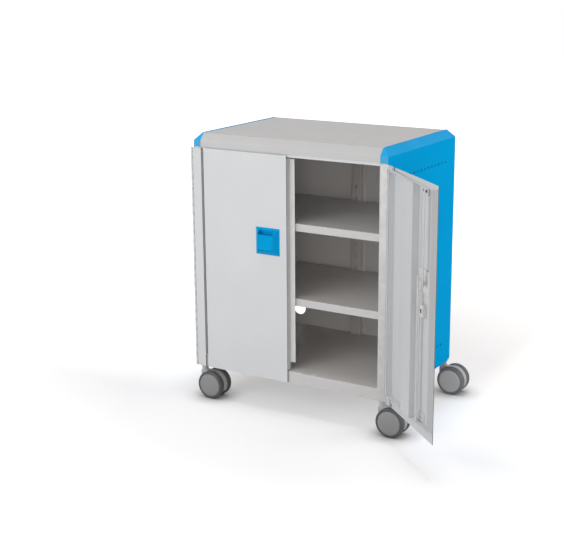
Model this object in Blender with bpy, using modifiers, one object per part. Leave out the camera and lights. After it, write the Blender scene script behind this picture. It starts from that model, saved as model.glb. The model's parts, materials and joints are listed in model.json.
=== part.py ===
"""Mobile storage cabinet: a sheet-steel carcass on twin-wheel castors, with two piano-hinged doors.

The origin is the centre of the worktop's flat top. +Z is up and the doors face -Y.
"""

from math import cos, hypot, pi, radians, sin

import bmesh
import bpy
from mathutils import Matrix, Vector

# Carcass, in metres
WIDTH = 0.750
DEPTH = 0.506
BODY_HEIGHT = 0.8365
SHEET = 0.0015
CLEARANCE = 0.0003

# Worktop edge: a chamfer above a vertical band, closed at each end by the side panel's cap
CHAMFER_RUN = 0.021
CHAMFER_DROP = 0.0235
BAND_HEIGHT = 0.022
CAP_WIDTH = 0.0285

# Frame behind the doors
POST_WIDTH = 0.030
POST_DEPTH = 0.028
RAIL_HEIGHT = 0.0407
HEAD_DROP = 0.010
HEAD_DEPTH = 0.024
HEAD_SETBACK = 0.003

# Side vents
VENT_RADIUS = 0.0035
VENT_PITCH = 0.0265
VENT_COUNT = 14
VENT_TOP_Z = -0.102
VENT_RISE = 0.0795
VENT_SIDES = 8
TOE_CUT_LENGTH = 0.017
TOE_CUT_HEIGHT = 0.007

# Back
CABLE_HOLE_RADIUS = 0.026
CABLE_HOLE_X = -0.257
CABLE_HOLE_RISE = 0.1025
STANDARD_WIDTH = 0.036
STANDARD_DEPTH = 0.020
STANDARD_FLANGE = 0.012
STANDARD_SLOT_WIDTH = 0.005
STANDARD_SLOT_HEIGHT = 0.014

# Shelves hang on clips in the posts' slots
SLOT_PITCH = 0.0435
SLOT_COUNT = 11
SLOT_TOP_Z = -0.2318
SLOT_HEIGHT = 0.004
SHELF_SLOTS = {"upper": 2, "lower": 8}
SHELF_EDGE = 0.026
SHELF_SETBACK = 0.032
SHELF_SIDE_GAP = 0.0015
CLIP_WIDTH = 0.016
CLIP_RISE = 0.010
CLIP_REACH = 0.022
CLIP_TAIL = 0.006

# Doors
DOOR_SHEET = 0.0012
DOOR_TOP_GAP = 0.003
DOOR_GAP = 0.003
MEETING_X = 0.0035
FACE_STANDOFF = 0.006
PAN_DEPTH = 0.022
PAN_TOP_GAP = 0.0025
PAN_BOTTOM_GAP = 0.0028
GROOVE_OFFSET = 0.0395
GROOVE_WIDTH = 0.009
STIFFENER_FROM_EDGE = 0.1945
STIFFENER_WIDTH = 0.068
STIFFENER_FLANGE = 0.012
STIFFENER_DEPTH = 0.0265
STIFFENER_SLOPE = 0.001
ASTRAGAL_REACH = 0.0125
ASTRAGAL_BACK = 0.0275
ASTRAGAL_LEG = 0.022
ASTRAGAL_TOP_GAP = 0.005
ASTRAGAL_BOTTOM_GAP = 0.023
RIGHT_DOOR_OPEN = radians(139)

# Piano hinges, measured from the carcass's front corners
HINGE_OUT = 0.0055
HINGE_FORWARD = 0.0042
BARREL_RADIUS = 0.0042
PIN_RADIUS = 0.0015
PIN_BORE_RADIUS = 0.0019
BARREL_SIDES = 8
LEAF_SHEET = 0.0015
LEAF_WIDTH = 0.026
KNUCKLE_COUNT = 21
KNUCKLE_GAP = 0.0004

# Handles: a raised bezel with a cup behind it and a paddle that is pulled from its top edge
HANDLE_FROM_EDGE = 0.074
HANDLE_Z = -0.3456
BEZEL_SIZE = 0.094
BEZEL_RISE = 0.018
BEZEL_TOP_SIZE = 0.062
CUP_SIZE = 0.068
CUP_DEPTH = 0.006
CUP_WALL = 0.002
CAVITY_WIDTH = 0.058
CAVITY_BELOW = 0.0299
CAVITY_ABOVE = 0.040
PADDLE_THICKNESS = 0.0036
PADDLE_SIDE_GAP = 0.0006
PADDLE_BOTTOM_GAP = 0.0015
PADDLE_TOP = 0.0245
TRUNNION_RADIUS = 0.0015
TRUNNION_BORE_RADIUS = 0.0019
TRUNNION_LENGTH = 0.0025
TRUNNION_RISE = 0.0039
TRUNNION_SINK = 0.0031

# Lock: a cam on the cup's back drives one rod up and one rod down
CAM_STANDOFF = 0.0163
CAM_RADIUS = 0.018
CAM_SWING = radians(40)
CAM_BAR = 0.010
CAM_SHEET = 0.002
CAM_PIN_RADIUS = 0.0018
STUD_RADIUS = 0.004
STUD_BORE_RADIUS = 0.0045
ROD_WIDTH = 0.010
ROD_SHEET = 0.002
ROD_TAIL = 0.007
ROD_PASSAGE = 0.0005
STRIKE_LENGTH = 0.016
STRIKE_WIDTH = 0.008

# Castors
CASTOR_HEIGHT = 0.1145
WHEEL_RADIUS = 0.050
WHEEL_FACETS = 24
WHEEL_INNER = 0.0115
WHEEL_WIDTH = 0.0262
HUB_RADIUS = 0.041
HUB_DOME = 0.004
RIM_GROOVE = 0.0015
TREAD_ROUND = 0.004
TRAIL = 0.040
AXLE_RADIUS = 0.004
AXLE_BORE_RADIUS = 0.0044
AXLE_REACH = 0.031
HOUSING_RADIUS = 0.043
HOUSING_HALF = 0.0105
NECK_RADIUS = 0.0115
NECK_HEIGHT = 0.017
STEM_RADIUS = 0.005
STEM_BORE_RADIUS = 0.0054
STEM_LENGTH = 0.030
COLLAR_HEIGHT = 0.0022
PLUG_HEIGHT = 0.030

# Places that follow from the sizes above
HALF_WIDTH = WIDTH / 2
FRONT = -DEPTH / 2
BACK = DEPTH / 2
BODY_BOTTOM = -BODY_HEIGHT
BAND_BOTTOM = -CHAMFER_DROP - BAND_HEIGHT
PAN_FLOOR = BODY_BOTTOM + RAIL_HEIGHT
VENT_BOTTOM_Z = BODY_BOTTOM + VENT_RISE
CABLE_HOLE_Z = BODY_BOTTOM + CABLE_HOLE_RISE
HEAD_BOTTOM = BAND_BOTTOM - HEAD_DROP
POST_INNER = HALF_WIDTH - POST_WIDTH
POST_OUTER = HALF_WIDTH - SHEET - CLEARANCE
POST_CENTRE = (POST_INNER + POST_OUTER) / 2
POST_TOP = BAND_BOTTOM - CLEARANCE
FRONT_POST_BACK = FRONT + POST_DEPTH
REAR_POST_BACK = BACK - SHEET - CLEARANCE
REAR_POST_FRONT = REAR_POST_BACK - POST_DEPTH
BACK_FACE = REAR_POST_BACK - SHEET
HINGE_X = HALF_WIDTH + HINGE_OUT
HINGE_Y = FRONT - HINGE_FORWARD
DOOR_TOP = BAND_BOTTOM - DOOR_TOP_GAP
DOOR_FACE = HINGE_FORWARD - FACE_STANDOFF
DOOR_BACK = DOOR_FACE + PAN_DEPTH
PAN_TOP = HEAD_BOTTOM - PAN_TOP_GAP
PAN_BOTTOM = PAN_FLOOR + PAN_BOTTOM_GAP
LEFT_SPAN = HINGE_X + MEETING_X - DOOR_GAP / 2
RIGHT_SPAN = HINGE_X - MEETING_X - DOOR_GAP / 2
CUP_BACK = DOOR_FACE + CUP_DEPTH
CAM_FRONT = DOOR_FACE + CAM_STANDOFF
ROD_FRONT = CAM_FRONT + CAM_SHEET + CLEARANCE
ROD_BACK = ROD_FRONT + ROD_SHEET
CAM_LIFT = CAM_RADIUS * sin(CAM_SWING / 2)
CAM_THROW = CAM_RADIUS * (1 + cos(CAM_SWING / 2)) / 2
LOCK_SPAN = RIGHT_SPAN - HANDLE_FROM_EDGE

# Finishes: colour, roughness, metallic
GREY_PAINT = ((0.62, 0.62, 0.61, 1.0), 0.45, 0.0)
BLUE_PAINT = ((0.0, 0.32, 0.68, 1.0), 0.40, 0.0)
ZINC = ((0.55, 0.55, 0.56, 1.0), 0.35, 0.9)
HUB_PLASTIC = ((0.28, 0.28, 0.29, 1.0), 0.50, 0.0)
HOUSING_PLASTIC = ((0.36, 0.36, 0.37, 1.0), 0.50, 0.0)

PARTS = "mobile_storage_cabinet"
CUTTERS = "cutters"


def clear_scene():
    """Empty the file and make the two collections."""
    for item in list(bpy.data.objects):
        bpy.data.objects.remove(item, do_unlink=True)
    for name in (PARTS, CUTTERS):
        collection = bpy.data.collections.get(name) or bpy.data.collections.new(name)
        if name not in bpy.context.scene.collection.children:
            bpy.context.scene.collection.children.link(collection)


def add_object(name, bm, parent=None, location=(0, 0, 0)):
    """Turn a bmesh into an object among the cutters; finish() makes it a part."""
    bmesh.ops.recalc_face_normals(bm, faces=bm.faces)
    mesh = bpy.data.meshes.new(name)
    bm.to_mesh(mesh)
    bm.free()
    item = bpy.data.objects.new(name, mesh)
    bpy.data.collections[CUTTERS].objects.link(item)
    item.parent = parent
    item.location = location
    item.hide_render = True
    item.display_type = "WIRE"
    return item


def finish(item, look, smooth=False):
    """Move an object to the parts and give it its own material."""
    colour, roughness, metallic = look
    material = bpy.data.materials.new(item.name)
    material.use_nodes = True
    shader = material.node_tree.nodes["Principled BSDF"]
    shader.inputs["Base Color"].default_value = colour
    shader.inputs["Roughness"].default_value = roughness
    shader.inputs["Metallic"].default_value = metallic
    item.data.materials.append(material)
    bpy.data.collections[CUTTERS].objects.unlink(item)
    bpy.data.collections[PARTS].objects.link(item)
    item.hide_render = False
    item.display_type = "TEXTURED"
    if smooth:
        item.data.shade_smooth()
        item.data.set_sharp_from_angle(angle=radians(35))
    return item


def pivot(name, location, parent=None):
    """An empty on a joint's axis."""
    item = bpy.data.objects.new(name, None)
    bpy.data.collections[CUTTERS].objects.link(item)
    item.parent = parent
    item.location = location
    return item


def box(name, low, high, parent=None):
    """A box between two corners."""
    low, high = Vector(low), Vector(high)
    bm = bmesh.new()
    place = Matrix.Translation((low + high) / 2) @ Matrix.Diagonal((*(high - low), 1))
    bmesh.ops.create_cube(bm, size=1, matrix=place)
    return add_object(name, bm, parent)


def spanned(direction, near, far):
    """The two ends of a stretch along X, in rising order, on the side that direction points to."""
    return sorted((direction * near, direction * far))


def cylinder(name, radius, start, end, sides, parent=None):
    """A cylinder between two points; its facets lie square to the axes."""
    start, end = Vector(start), Vector(end)
    axis = end - start
    turn = axis.to_track_quat("Z", "Y").to_matrix().to_4x4()
    spin = Matrix.Rotation(pi / sides, 4, "Z")
    bm = bmesh.new()
    bmesh.ops.create_cone(
        bm, cap_ends=True, segments=sides, radius1=radius, radius2=radius, depth=axis.length,
        matrix=Matrix.Translation((start + end) / 2) @ turn @ spin)
    return add_object(name, bm, parent)


def tapered(name, size, top_size, low, high, centre, parent):
    """A block that narrows towards -Y, from low to high, about a centre in X and Z."""
    item = box(name, (-size / 2, high, -size / 2), (size / 2, low, size / 2), parent)
    for vertex in item.data.vertices:
        if vertex.co.y < (low + high) / 2:
            vertex.co.x *= top_size / size
            vertex.co.z *= top_size / size
    item.location = (centre[0], 0, centre[1])
    return item


def sheet(name, path, span, axis, thickness, parent=None):
    """A folded sheet: an open strip swept from the path along one axis, thickened about its middle.

    The path's pairs are the two remaining axes in order.
    """
    bm = bmesh.new()
    start, end = span
    points = []
    for first, second in path:
        point = [first, second]
        point.insert(axis, start)
        points.append(bm.verts.new(point))
    edges = [bm.edges.new(pair) for pair in zip(points, points[1:])]
    swept = bmesh.ops.extrude_edge_only(bm, edges=edges)["geom"]
    shift = Vector((0, 0, 0))
    shift[axis] = end - start
    bmesh.ops.translate(bm, verts=[v for v in swept if isinstance(v, bmesh.types.BMVert)], vec=shift)
    item = add_object(name, bm, parent)
    solidify = item.modifiers.new("thickness", "SOLIDIFY")
    solidify.thickness = thickness
    solidify.offset = 0
    solidify.use_even_offset = True
    return item


def tray(name, low, high, thickness, parent=None):
    """A pressed tray, open below."""
    item = box(name, low, high, parent)
    bm = bmesh.new()
    bm.from_mesh(item.data)
    bmesh.ops.delete(bm, geom=[face for face in bm.faces if face.normal.z < -0.5], context="FACES_ONLY")
    bm.to_mesh(item.data)
    bm.free()
    solidify = item.modifiers.new("thickness", "SOLIDIFY")
    solidify.thickness = thickness
    solidify.offset = -1
    solidify.use_even_offset = True
    return item


def turned(name, profile, steps, parent=None):
    """A shape turned about Z from a profile that runs from its top centre down its outer side."""
    mesh = bpy.data.meshes.new(name)
    points = [(radius, 0, height) for radius, height in profile]
    mesh.from_pydata(points, [(i, i + 1) for i in range(len(points) - 1)], [])
    item = bpy.data.objects.new(name, mesh)
    bpy.data.collections[CUTTERS].objects.link(item)
    item.parent = parent
    item.hide_render = True
    item.display_type = "WIRE"
    screw = item.modifiers.new("turn", "SCREW")
    screw.steps = steps
    screw.render_steps = steps
    screw.use_merge_vertices = True
    screw.merge_threshold = 0.00001
    screw.use_smooth_shade = False
    return item


def boolean(item, operation, tool):
    """Cut with, join to or keep what lies inside another object."""
    modifier = item.modifiers.new(tool.name, "BOOLEAN")
    modifier.operation = operation
    modifier.solver = "EXACT"
    modifier.object = tool


def cut(item, *tools):
    for tool in tools:
        boolean(item, "DIFFERENCE", tool)


def join(item, *tools):
    for tool in tools:
        boolean(item, "UNION", tool)


def repeat(item, count, step):
    """Repeat an object's mesh at a constant step."""
    array = item.modifiers.new("repeat", "ARRAY")
    array.count = count
    array.use_relative_offset = False
    array.use_constant_offset = True
    array.constant_offset_displace = step


def envelope(name, inset, bottom):
    """The carcass's outline, drawn in at the top to the chamfered edge, moved inwards by an inset."""
    slope = hypot(CHAMFER_RUN, CHAMFER_DROP)
    shoulder = -CHAMFER_DROP - inset * (slope - CHAMFER_DROP) / CHAMFER_RUN
    draw_in = CHAMFER_RUN + inset * (slope - CHAMFER_RUN) / CHAMFER_DROP
    half_x = HALF_WIDTH - inset
    half_y = DEPTH / 2 - inset
    bm = bmesh.new()
    size = Matrix.Diagonal((2 * half_x, 2 * half_y, shoulder - bottom, 1))
    bmesh.ops.create_cube(bm, size=1, matrix=Matrix.Translation((0, 0, (shoulder + bottom) / 2)) @ size)
    top = max(bm.faces, key=lambda face: face.calc_center_median().z)
    raised = bmesh.ops.extrude_face_region(bm, geom=[top])["geom"]
    corners = [v for v in raised if isinstance(v, bmesh.types.BMVert)]
    bmesh.ops.delete(bm, geom=[top], context="FACES_ONLY")
    bmesh.ops.translate(bm, verts=corners, vec=(0, 0, -inset - shoulder))
    narrow = ((HALF_WIDTH - draw_in) / half_x, (DEPTH / 2 - draw_in) / half_y, 1)
    bmesh.ops.scale(bm, verts=corners, vec=narrow)
    return add_object(name, bm)


def build_worktop(hollow):
    """The folded top: flat, chamfers and bands, between the side panels' caps."""
    top = envelope("top_panel", 0, BODY_BOTTOM)
    reach = HALF_WIDTH - CAP_WIDTH - CLEARANCE
    boolean(top, "INTERSECT", box(
        "top_panel_extent", (-reach, FRONT - SHEET, BAND_BOTTOM), (reach, BACK + SHEET, SHEET)))
    cut(top, hollow)
    finish(top, GREY_PAINT)


def build_side(name, direction, hollow):
    """A side panel with its cap over the worktop's end, its rear flange and two rows of vents."""
    side = envelope(f"side_panel_{name}", 0, BODY_BOTTOM)
    cap = HALF_WIDTH - CAP_WIDTH
    near, far = spanned(direction, cap, HALF_WIDTH + SHEET)
    boolean(side, "INTERSECT", box(
        f"side_extent_{name}", (near, FRONT - SHEET, BODY_BOTTOM - SHEET), (far, BACK + SHEET, SHEET)))
    cut(side, hollow)
    near, far = spanned(direction, cap - SHEET, HALF_WIDTH - SHEET - CLEARANCE / 2)
    cut(side, box(
        f"side_window_{name}", (near, FRONT - SHEET, BODY_BOTTOM - SHEET),
        (far, FRONT + 2 * SHEET, BAND_BOTTOM)))
    near, far = spanned(direction, cap - SHEET, HALF_WIDTH + SHEET)
    cut(side, box(
        f"toe_cut_{name}", (near, BACK - TOE_CUT_LENGTH, BODY_BOTTOM - SHEET),
        (far, BACK + SHEET, BODY_BOTTOM + TOE_CUT_HEIGHT)))
    first = -VENT_PITCH * (VENT_COUNT - 1) / 2
    near, far = spanned(direction, HALF_WIDTH - 2 * SHEET, HALF_WIDTH + SHEET)
    vents = cylinder(
        f"vents_{name}", VENT_RADIUS, (near, first, VENT_TOP_Z), (far, first, VENT_TOP_Z), VENT_SIDES)
    repeat(vents, VENT_COUNT, (0, VENT_PITCH, 0))
    repeat(vents, 2, (0, 0, VENT_BOTTOM_Z - VENT_TOP_Z))
    cut(side, vents)
    finish(side, BLUE_PAINT)


def post_slots(name, direction, wall):
    """A column of slots through a post's inward wall."""
    half = CLIP_WIDTH / 2 + SHEET
    near, far = spanned(direction, POST_CENTRE - half, POST_CENTRE + half)
    slots = box(
        name, (near, wall - 2 * SHEET, SLOT_TOP_Z - SLOT_HEIGHT / 2),
        (far, wall + 2 * SHEET, SLOT_TOP_Z + SLOT_HEIGHT / 2))
    repeat(slots, SLOT_COUNT, (0, 0, -SLOT_PITCH))
    return slots


def build_posts(name, direction):
    """The front and rear corner tubes of one side."""
    ends = {
        "front": (FRONT, FRONT_POST_BACK, FRONT_POST_BACK),
        "rear": (REAR_POST_FRONT, REAR_POST_BACK, REAR_POST_FRONT),
    }
    near, far = spanned(direction, POST_INNER, POST_OUTER)
    for end, (low, high, wall) in ends.items():
        post = box(f"{end}_post_{name}", (near, low, BODY_BOTTOM), (far, high, POST_TOP))
        bore = box(
            f"{end}_post_bore_{name}", (near + SHEET, low + SHEET, BODY_BOTTOM - SHEET),
            (far - SHEET, high - SHEET, POST_TOP + SHEET))
        cut(post, bore, post_slots(f"{end}_slots_{name}", direction, wall))
        finish(post, GREY_PAINT)


def build_head_rail():
    """The folded rail over the opening, with the strike for the upper lock rod."""
    front = FRONT + HEAD_SETBACK + SHEET / 2
    rear = front + HEAD_DEPTH
    foot = HEAD_BOTTOM + SHEET / 2
    crown = BAND_BOTTOM + BAND_HEIGHT / 2
    reach = POST_INNER - CLEARANCE
    path = ((front, crown), (front, foot), (rear, foot), (rear, crown))
    rail = sheet("head_rail", path, (-reach, reach), 0, SHEET)
    cut(rail, strike("upper_strike", LOCK_SPAN + CAM_THROW, foot))
    finish(rail, GREY_PAINT)


def strike(name, span, level):
    """A slot that takes a lock rod's tip when the right door is closed."""
    x = HINGE_X - span
    y = HINGE_Y + (ROD_FRONT + ROD_BACK) / 2
    half = Vector((STRIKE_LENGTH / 2, STRIKE_WIDTH / 2, 2 * SHEET))
    centre = Vector((x, y, level))
    return box(name, centre - half, centre + half)


def build_base_pan():
    """The floor: an inverted tray, notched round the posts, whose front is the bottom rail."""
    reach = POST_OUTER
    pan = tray("base_pan", (-reach, FRONT, BODY_BOTTOM), (reach, BACK_FACE - CLEARANCE, PAN_FLOOR), SHEET)
    notch_x = POST_INNER - CLEARANCE
    for end, low, high in (
            ("front", FRONT - SHEET, FRONT_POST_BACK + CLEARANCE),
            ("rear", REAR_POST_FRONT - CLEARANCE, BACK + SHEET)):
        for direction in (-1, 1):
            near, far = spanned(direction, notch_x, HALF_WIDTH)
            cut(pan, box(
                f"{end}_notch_{direction}", (near, low, BODY_BOTTOM - SHEET),
                (far, high, PAN_FLOOR + SHEET)))
    cut(pan, strike("lower_strike", LOCK_SPAN - CAM_THROW, PAN_FLOOR))
    finish(pan, GREY_PAINT)


def build_back():
    """The back panel with its cable hole, and the slotted standard up its middle."""
    reach = POST_INNER - CLEARANCE
    crown = BAND_BOTTOM + BAND_HEIGHT / 2
    panel = box("back_panel", (-reach, BACK_FACE, BODY_BOTTOM), (reach, REAR_POST_BACK, crown))
    cut(panel, cylinder(
        "cable_hole", CABLE_HOLE_RADIUS, (CABLE_HOLE_X, BACK_FACE - SHEET, CABLE_HOLE_Z),
        (CABLE_HOLE_X, BACK + SHEET, CABLE_HOLE_Z), 24))
    finish(panel, GREY_PAINT)
    rear = BACK_FACE - CLEARANCE - SHEET / 2
    face = rear - STANDARD_DEPTH
    half = STANDARD_WIDTH / 2 - SHEET / 2
    edge = half + STANDARD_FLANGE
    path = ((-edge, rear), (-half, rear), (-half, face), (half, face), (half, rear), (edge, rear))
    standard = sheet("back_standard", path, (PAN_FLOOR + CLEARANCE, HEAD_BOTTOM), 2, SHEET)
    slot = Vector((STANDARD_SLOT_WIDTH / 2, 2 * SHEET, STANDARD_SLOT_HEIGHT / 2))
    centre = Vector((0, face, SLOT_TOP_Z))
    slots = box("standard_slots", centre - slot, centre + slot)
    repeat(slots, SLOT_COUNT, (0, 0, -SLOT_PITCH))
    cut(standard, slots)
    finish(standard, GREY_PAINT)


def build_shelf(name, slot):
    """A shelf tray and the four clips that carry it."""
    tail = SLOT_TOP_Z - slot * SLOT_PITCH
    leg = tail + CLIP_RISE
    underside = leg + SHEET / 2 + CLEARANCE
    reach = HALF_WIDTH - SHEET - SHELF_SIDE_GAP
    low = (-reach, FRONT + SHELF_SETBACK, underside)
    high = (reach, REAR_POST_FRONT - SHELF_SETBACK + POST_DEPTH, underside + SHELF_EDGE)
    finish(tray(f"shelf_{name}", low, high, SHEET), GREY_PAINT)
    for side, direction in (("left", -1), ("right", 1)):
        across = spanned(direction, POST_CENTRE - CLIP_WIDTH / 2, POST_CENTRE + CLIP_WIDTH / 2)
        for end, wall, inward in (("front", FRONT_POST_BACK, 1), ("rear", REAR_POST_FRONT, -1)):
            stem = wall + inward * (CLEARANCE + SHEET / 2)
            inside, tip = wall - inward * CLIP_TAIL, wall + inward * CLIP_REACH
            path = ((inside, tail), (stem, tail), (stem, leg), (tip, leg))
            finish(sheet(f"shelf_clip_{name}_{end}_{side}", path, across, 0, SHEET), ZINC)


def knuckles(name, first, count, tab, parent):
    """A row of rolled knuckles about the hinge axis, each with the tab that runs into its leaf."""
    pitch = (DOOR_TOP - BODY_BOTTOM) / KNUCKLE_COUNT
    top = DOOR_TOP - first * pitch - KNUCKLE_GAP / 2
    foot = top - pitch + KNUCKLE_GAP
    row = cylinder(name, BARREL_RADIUS, (0, 0, foot), (0, 0, top), BARREL_SIDES, parent)
    low, high = tab
    join(row, box(f"{name}_tab", (*low, foot), (*high, top), parent))
    cut(row, cylinder(
        f"{name}_bore", PIN_BORE_RADIUS, (0, 0, foot - SHEET), (0, 0, top + SHEET), BARREL_SIDES, parent))
    repeat(row, count, (0, 0, -2 * pitch))
    return row


def build_hinge(name, inward, fixed_axis, door_axis):
    """A piano hinge: the post's leaf, the door's leaf between its knuckles, and the pin."""
    clear = BARREL_RADIUS + LEAF_SHEET / 2
    tab_end = clear + 2 * LEAF_SHEET
    far_edge = clear + LEAF_WIDTH
    post_face = HINGE_FORWARD - CLEARANCE
    door_face = DOOR_FACE + DOOR_SHEET + CLEARANCE
    leaves = {
        f"hinge_leaf_post_{name}": (fixed_axis, 0, post_face - LEAF_SHEET, 0),
        f"hinge_leaf_door_{name}": (door_axis, 1, door_face, PIN_BORE_RADIUS + LEAF_SHEET / 2),
    }
    for leaf_name, (axis, first, front, root) in leaves.items():
        near, far = spanned(inward, root, tab_end)
        count = (KNUCKLE_COUNT + 1 - first) // 2
        leaf = knuckles(leaf_name, first, count, ((near, front), (far, front + LEAF_SHEET)), axis)
        near, far = spanned(inward, clear, far_edge)
        plate = box(
            f"{leaf_name}_plate", (near, front, BODY_BOTTOM + KNUCKLE_GAP),
            (far, front + LEAF_SHEET, DOOR_TOP - KNUCKLE_GAP), axis)
        join(leaf, plate)
        finish(leaf, ZINC)
    foot, top = (0, 0, BODY_BOTTOM), (0, 0, DOOR_TOP)
    finish(cylinder(f"hinge_pin_{name}", PIN_RADIUS, foot, top, BARREL_SIDES, fixed_axis), ZINC)


def build_door(name, inward, span, axis):
    """A folded door: hinge strip, groove, face and return, with the pan's end walls behind."""
    skin = DOOR_FACE + DOOR_SHEET / 2
    hem = span - DOOR_SHEET / 2
    groove_floor = DOOR_BACK - DOOR_SHEET / 2
    groove_near = GROOVE_OFFSET - DOOR_SHEET / 2
    groove_far = GROOVE_OFFSET + GROOVE_WIDTH + DOOR_SHEET / 2
    edge = BARREL_RADIUS + LEAF_SHEET / 2
    fold = ((edge, skin), (groove_near, skin), (groove_near, groove_floor), (groove_far, groove_floor),
            (groove_far, skin), (hem, skin), (hem, DOOR_BACK))
    path = [(inward * s, depth) for s, depth in fold]
    door = sheet(f"door_{name}", path, (BODY_BOTTOM, DOOR_TOP), 2, DOOR_SHEET, axis)
    behind = DOOR_FACE + DOOR_SHEET - CLEARANCE / 3
    near, far = spanned(inward, -span, 2 * span)
    for end, low, high in (("top", PAN_TOP, 0), ("bottom", 2 * BODY_BOTTOM, PAN_BOTTOM)):
        cut(door, box(f"door_{name}_{end}_margin", (near, behind, low), (far, 2 * PAN_DEPTH, high), axis))
    near, far = spanned(inward, groove_near, hem)
    for end, low in (("top", PAN_TOP - DOOR_SHEET), ("bottom", PAN_BOTTOM)):
        join(door, box(
            f"door_{name}_{end}_wall", (near, skin, low),
            (far, DOOR_BACK - DOOR_SHEET / 3, low + DOOR_SHEET), axis))
    half = CUP_SIZE / 2 + CLEARANCE
    centre = inward * (span - HANDLE_FROM_EDGE)
    cut(door, box(
        f"door_{name}_cup_hole", (centre - half, DOOR_FACE - SHEET, HANDLE_Z - half),
        (centre + half, DOOR_FACE + 2 * SHEET, HANDLE_Z + half), axis))
    finish(door, GREY_PAINT)
    return door


def build_stiffener(name, inward, span, axis):
    """The hat section up the middle of a door's back."""
    foot = DOOR_FACE + DOOR_SHEET + CLEARANCE + DOOR_SHEET / 2
    crown = DOOR_FACE + STIFFENER_DEPTH
    begin = span - STIFFENER_FROM_EDGE
    start = begin + DOOR_SHEET / 2
    stop = begin + STIFFENER_WIDTH - DOOR_SHEET / 2
    fold = ((start - STIFFENER_FLANGE, foot), (start, foot), (start + STIFFENER_SLOPE, crown),
            (stop - STIFFENER_SLOPE, crown), (stop, foot), (stop + STIFFENER_FLANGE, foot))
    path = [(inward * s, depth) for s, depth in fold]
    height = (PAN_BOTTOM + DOOR_SHEET + CLEARANCE, PAN_TOP - DOOR_SHEET - CLEARANCE)
    finish(sheet(f"stiffener_{name}", path, height, 2, DOOR_SHEET, axis), GREY_PAINT)


def build_astragal(axis):
    """The angle on the left door's edge that covers the meeting line from behind."""
    leg = LEFT_SPAN - DOOR_SHEET - CLEARANCE - DOOR_SHEET / 2
    rear = HINGE_FORWARD + ASTRAGAL_BACK - DOOR_SHEET / 2
    path = ((leg, rear - ASTRAGAL_LEG), (leg, rear), (LEFT_SPAN + ASTRAGAL_REACH, rear))
    span = (PAN_BOTTOM + ASTRAGAL_BOTTOM_GAP, PAN_TOP - ASTRAGAL_TOP_GAP)
    finish(sheet("astragal_left", path, span, 2, DOOR_SHEET, axis), GREY_PAINT)


def build_handle(name, inward, span, axis, with_stud):
    """The bezel with its cup, and the paddle on its trunnions."""
    x = inward * (span - HANDLE_FROM_EDGE)
    face = DOOR_FACE - CLEARANCE
    crown = DOOR_FACE - BEZEL_RISE
    bezel = tapered(f"bezel_{name}", BEZEL_SIZE, BEZEL_TOP_SIZE, face, crown, (x, HANDLE_Z), axis)
    half = CUP_SIZE / 2
    low, high = HANDLE_Z - half, HANDLE_Z + half
    skirt = (crown + face) / 2
    join(bezel, box(f"cup_{name}", (x - half, skirt, low), (x + half, CUP_BACK, high), axis))
    half = CAVITY_WIDTH / 2
    floor = CUP_BACK - CUP_WALL
    cavity_low = HANDLE_Z - CAVITY_BELOW
    cut(bezel, box(
        f"cavity_{name}", (x - half, crown - SHEET, cavity_low), (x + half, floor, high - CUP_WALL), axis))
    cut(bezel, box(
        f"finger_gap_{name}", (x - half, crown - SHEET, HANDLE_Z),
        (x + half, face - CUP_WALL / 2, HANDLE_Z + CAVITY_ABOVE), axis))
    hinge_y = crown + TRUNNION_SINK
    hinge_z = cavity_low + TRUNNION_RISE
    reach = half + TRUNNION_LENGTH
    bore_reach = reach + CLEARANCE
    cut(bezel, cylinder(
        f"trunnion_bore_{name}", TRUNNION_BORE_RADIUS, (x - bore_reach, hinge_y, hinge_z),
        (x + bore_reach, hinge_y, hinge_z), 12, axis))
    if with_stud:
        root, tip = (x, floor + CUP_WALL / 2, HANDLE_Z), (x, ROD_BACK, HANDLE_Z)
        join(bezel, cylinder(f"stud_{name}", STUD_RADIUS, root, tip, 16, axis))
    finish(bezel, BLUE_PAINT)
    swing = pivot(f"paddle_axis_{name}", (x, hinge_y, hinge_z), axis)
    half -= PADDLE_SIDE_GAP
    front = crown - hinge_y
    paddle = box(
        f"paddle_{name}", (-half, front, cavity_low + PADDLE_BOTTOM_GAP - hinge_z),
        (half, front + PADDLE_THICKNESS, HANDLE_Z + PADDLE_TOP - hinge_z), swing)
    join(paddle, cylinder(f"trunnion_{name}", TRUNNION_RADIUS, (-reach, 0, 0), (reach, 0, 0), 12, swing))
    finish(paddle, BLUE_PAINT)


def build_lock(door, inward, axis):
    """The cam on the cup's stud and the two rods that it slides, drawn in while the door is open."""
    x = inward * LOCK_SPAN
    turn = pivot("lock_cam_axis", (x, 0, HANDLE_Z), axis)
    turn.rotation_euler = (0, inward * CAM_SWING / 2, 0)
    length = CAM_RADIUS + CAM_BAR / 2
    cam = box(
        "lock_cam", (-length, CAM_FRONT, -CAM_BAR / 2), (length, CAM_FRONT + CAM_SHEET, CAM_BAR / 2), turn)
    for side in (-1, 1):
        root, tip = (side * CAM_RADIUS, CAM_FRONT + CAM_SHEET / 2, 0), (side * CAM_RADIUS, ROD_BACK, 0)
        join(cam, cylinder(f"cam_pin_{side}", CAM_PIN_RADIUS, root, tip, 12, turn))
    cut(cam, cylinder(
        "stud_bore", STUD_BORE_RADIUS, (0, CAM_FRONT - SHEET, 0), (0, CAM_FRONT + 2 * SHEET, 0), 16, turn))
    finish(cam, ZINC)
    rods = {"upper": (1, PAN_TOP + CLEARANCE), "lower": (-1, PAN_BOTTOM - CLEARANCE)}
    for name, (up, tip) in rods.items():
        build_rod(name, up, tip, x + inward * up * CAM_THROW, door, axis)


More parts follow.
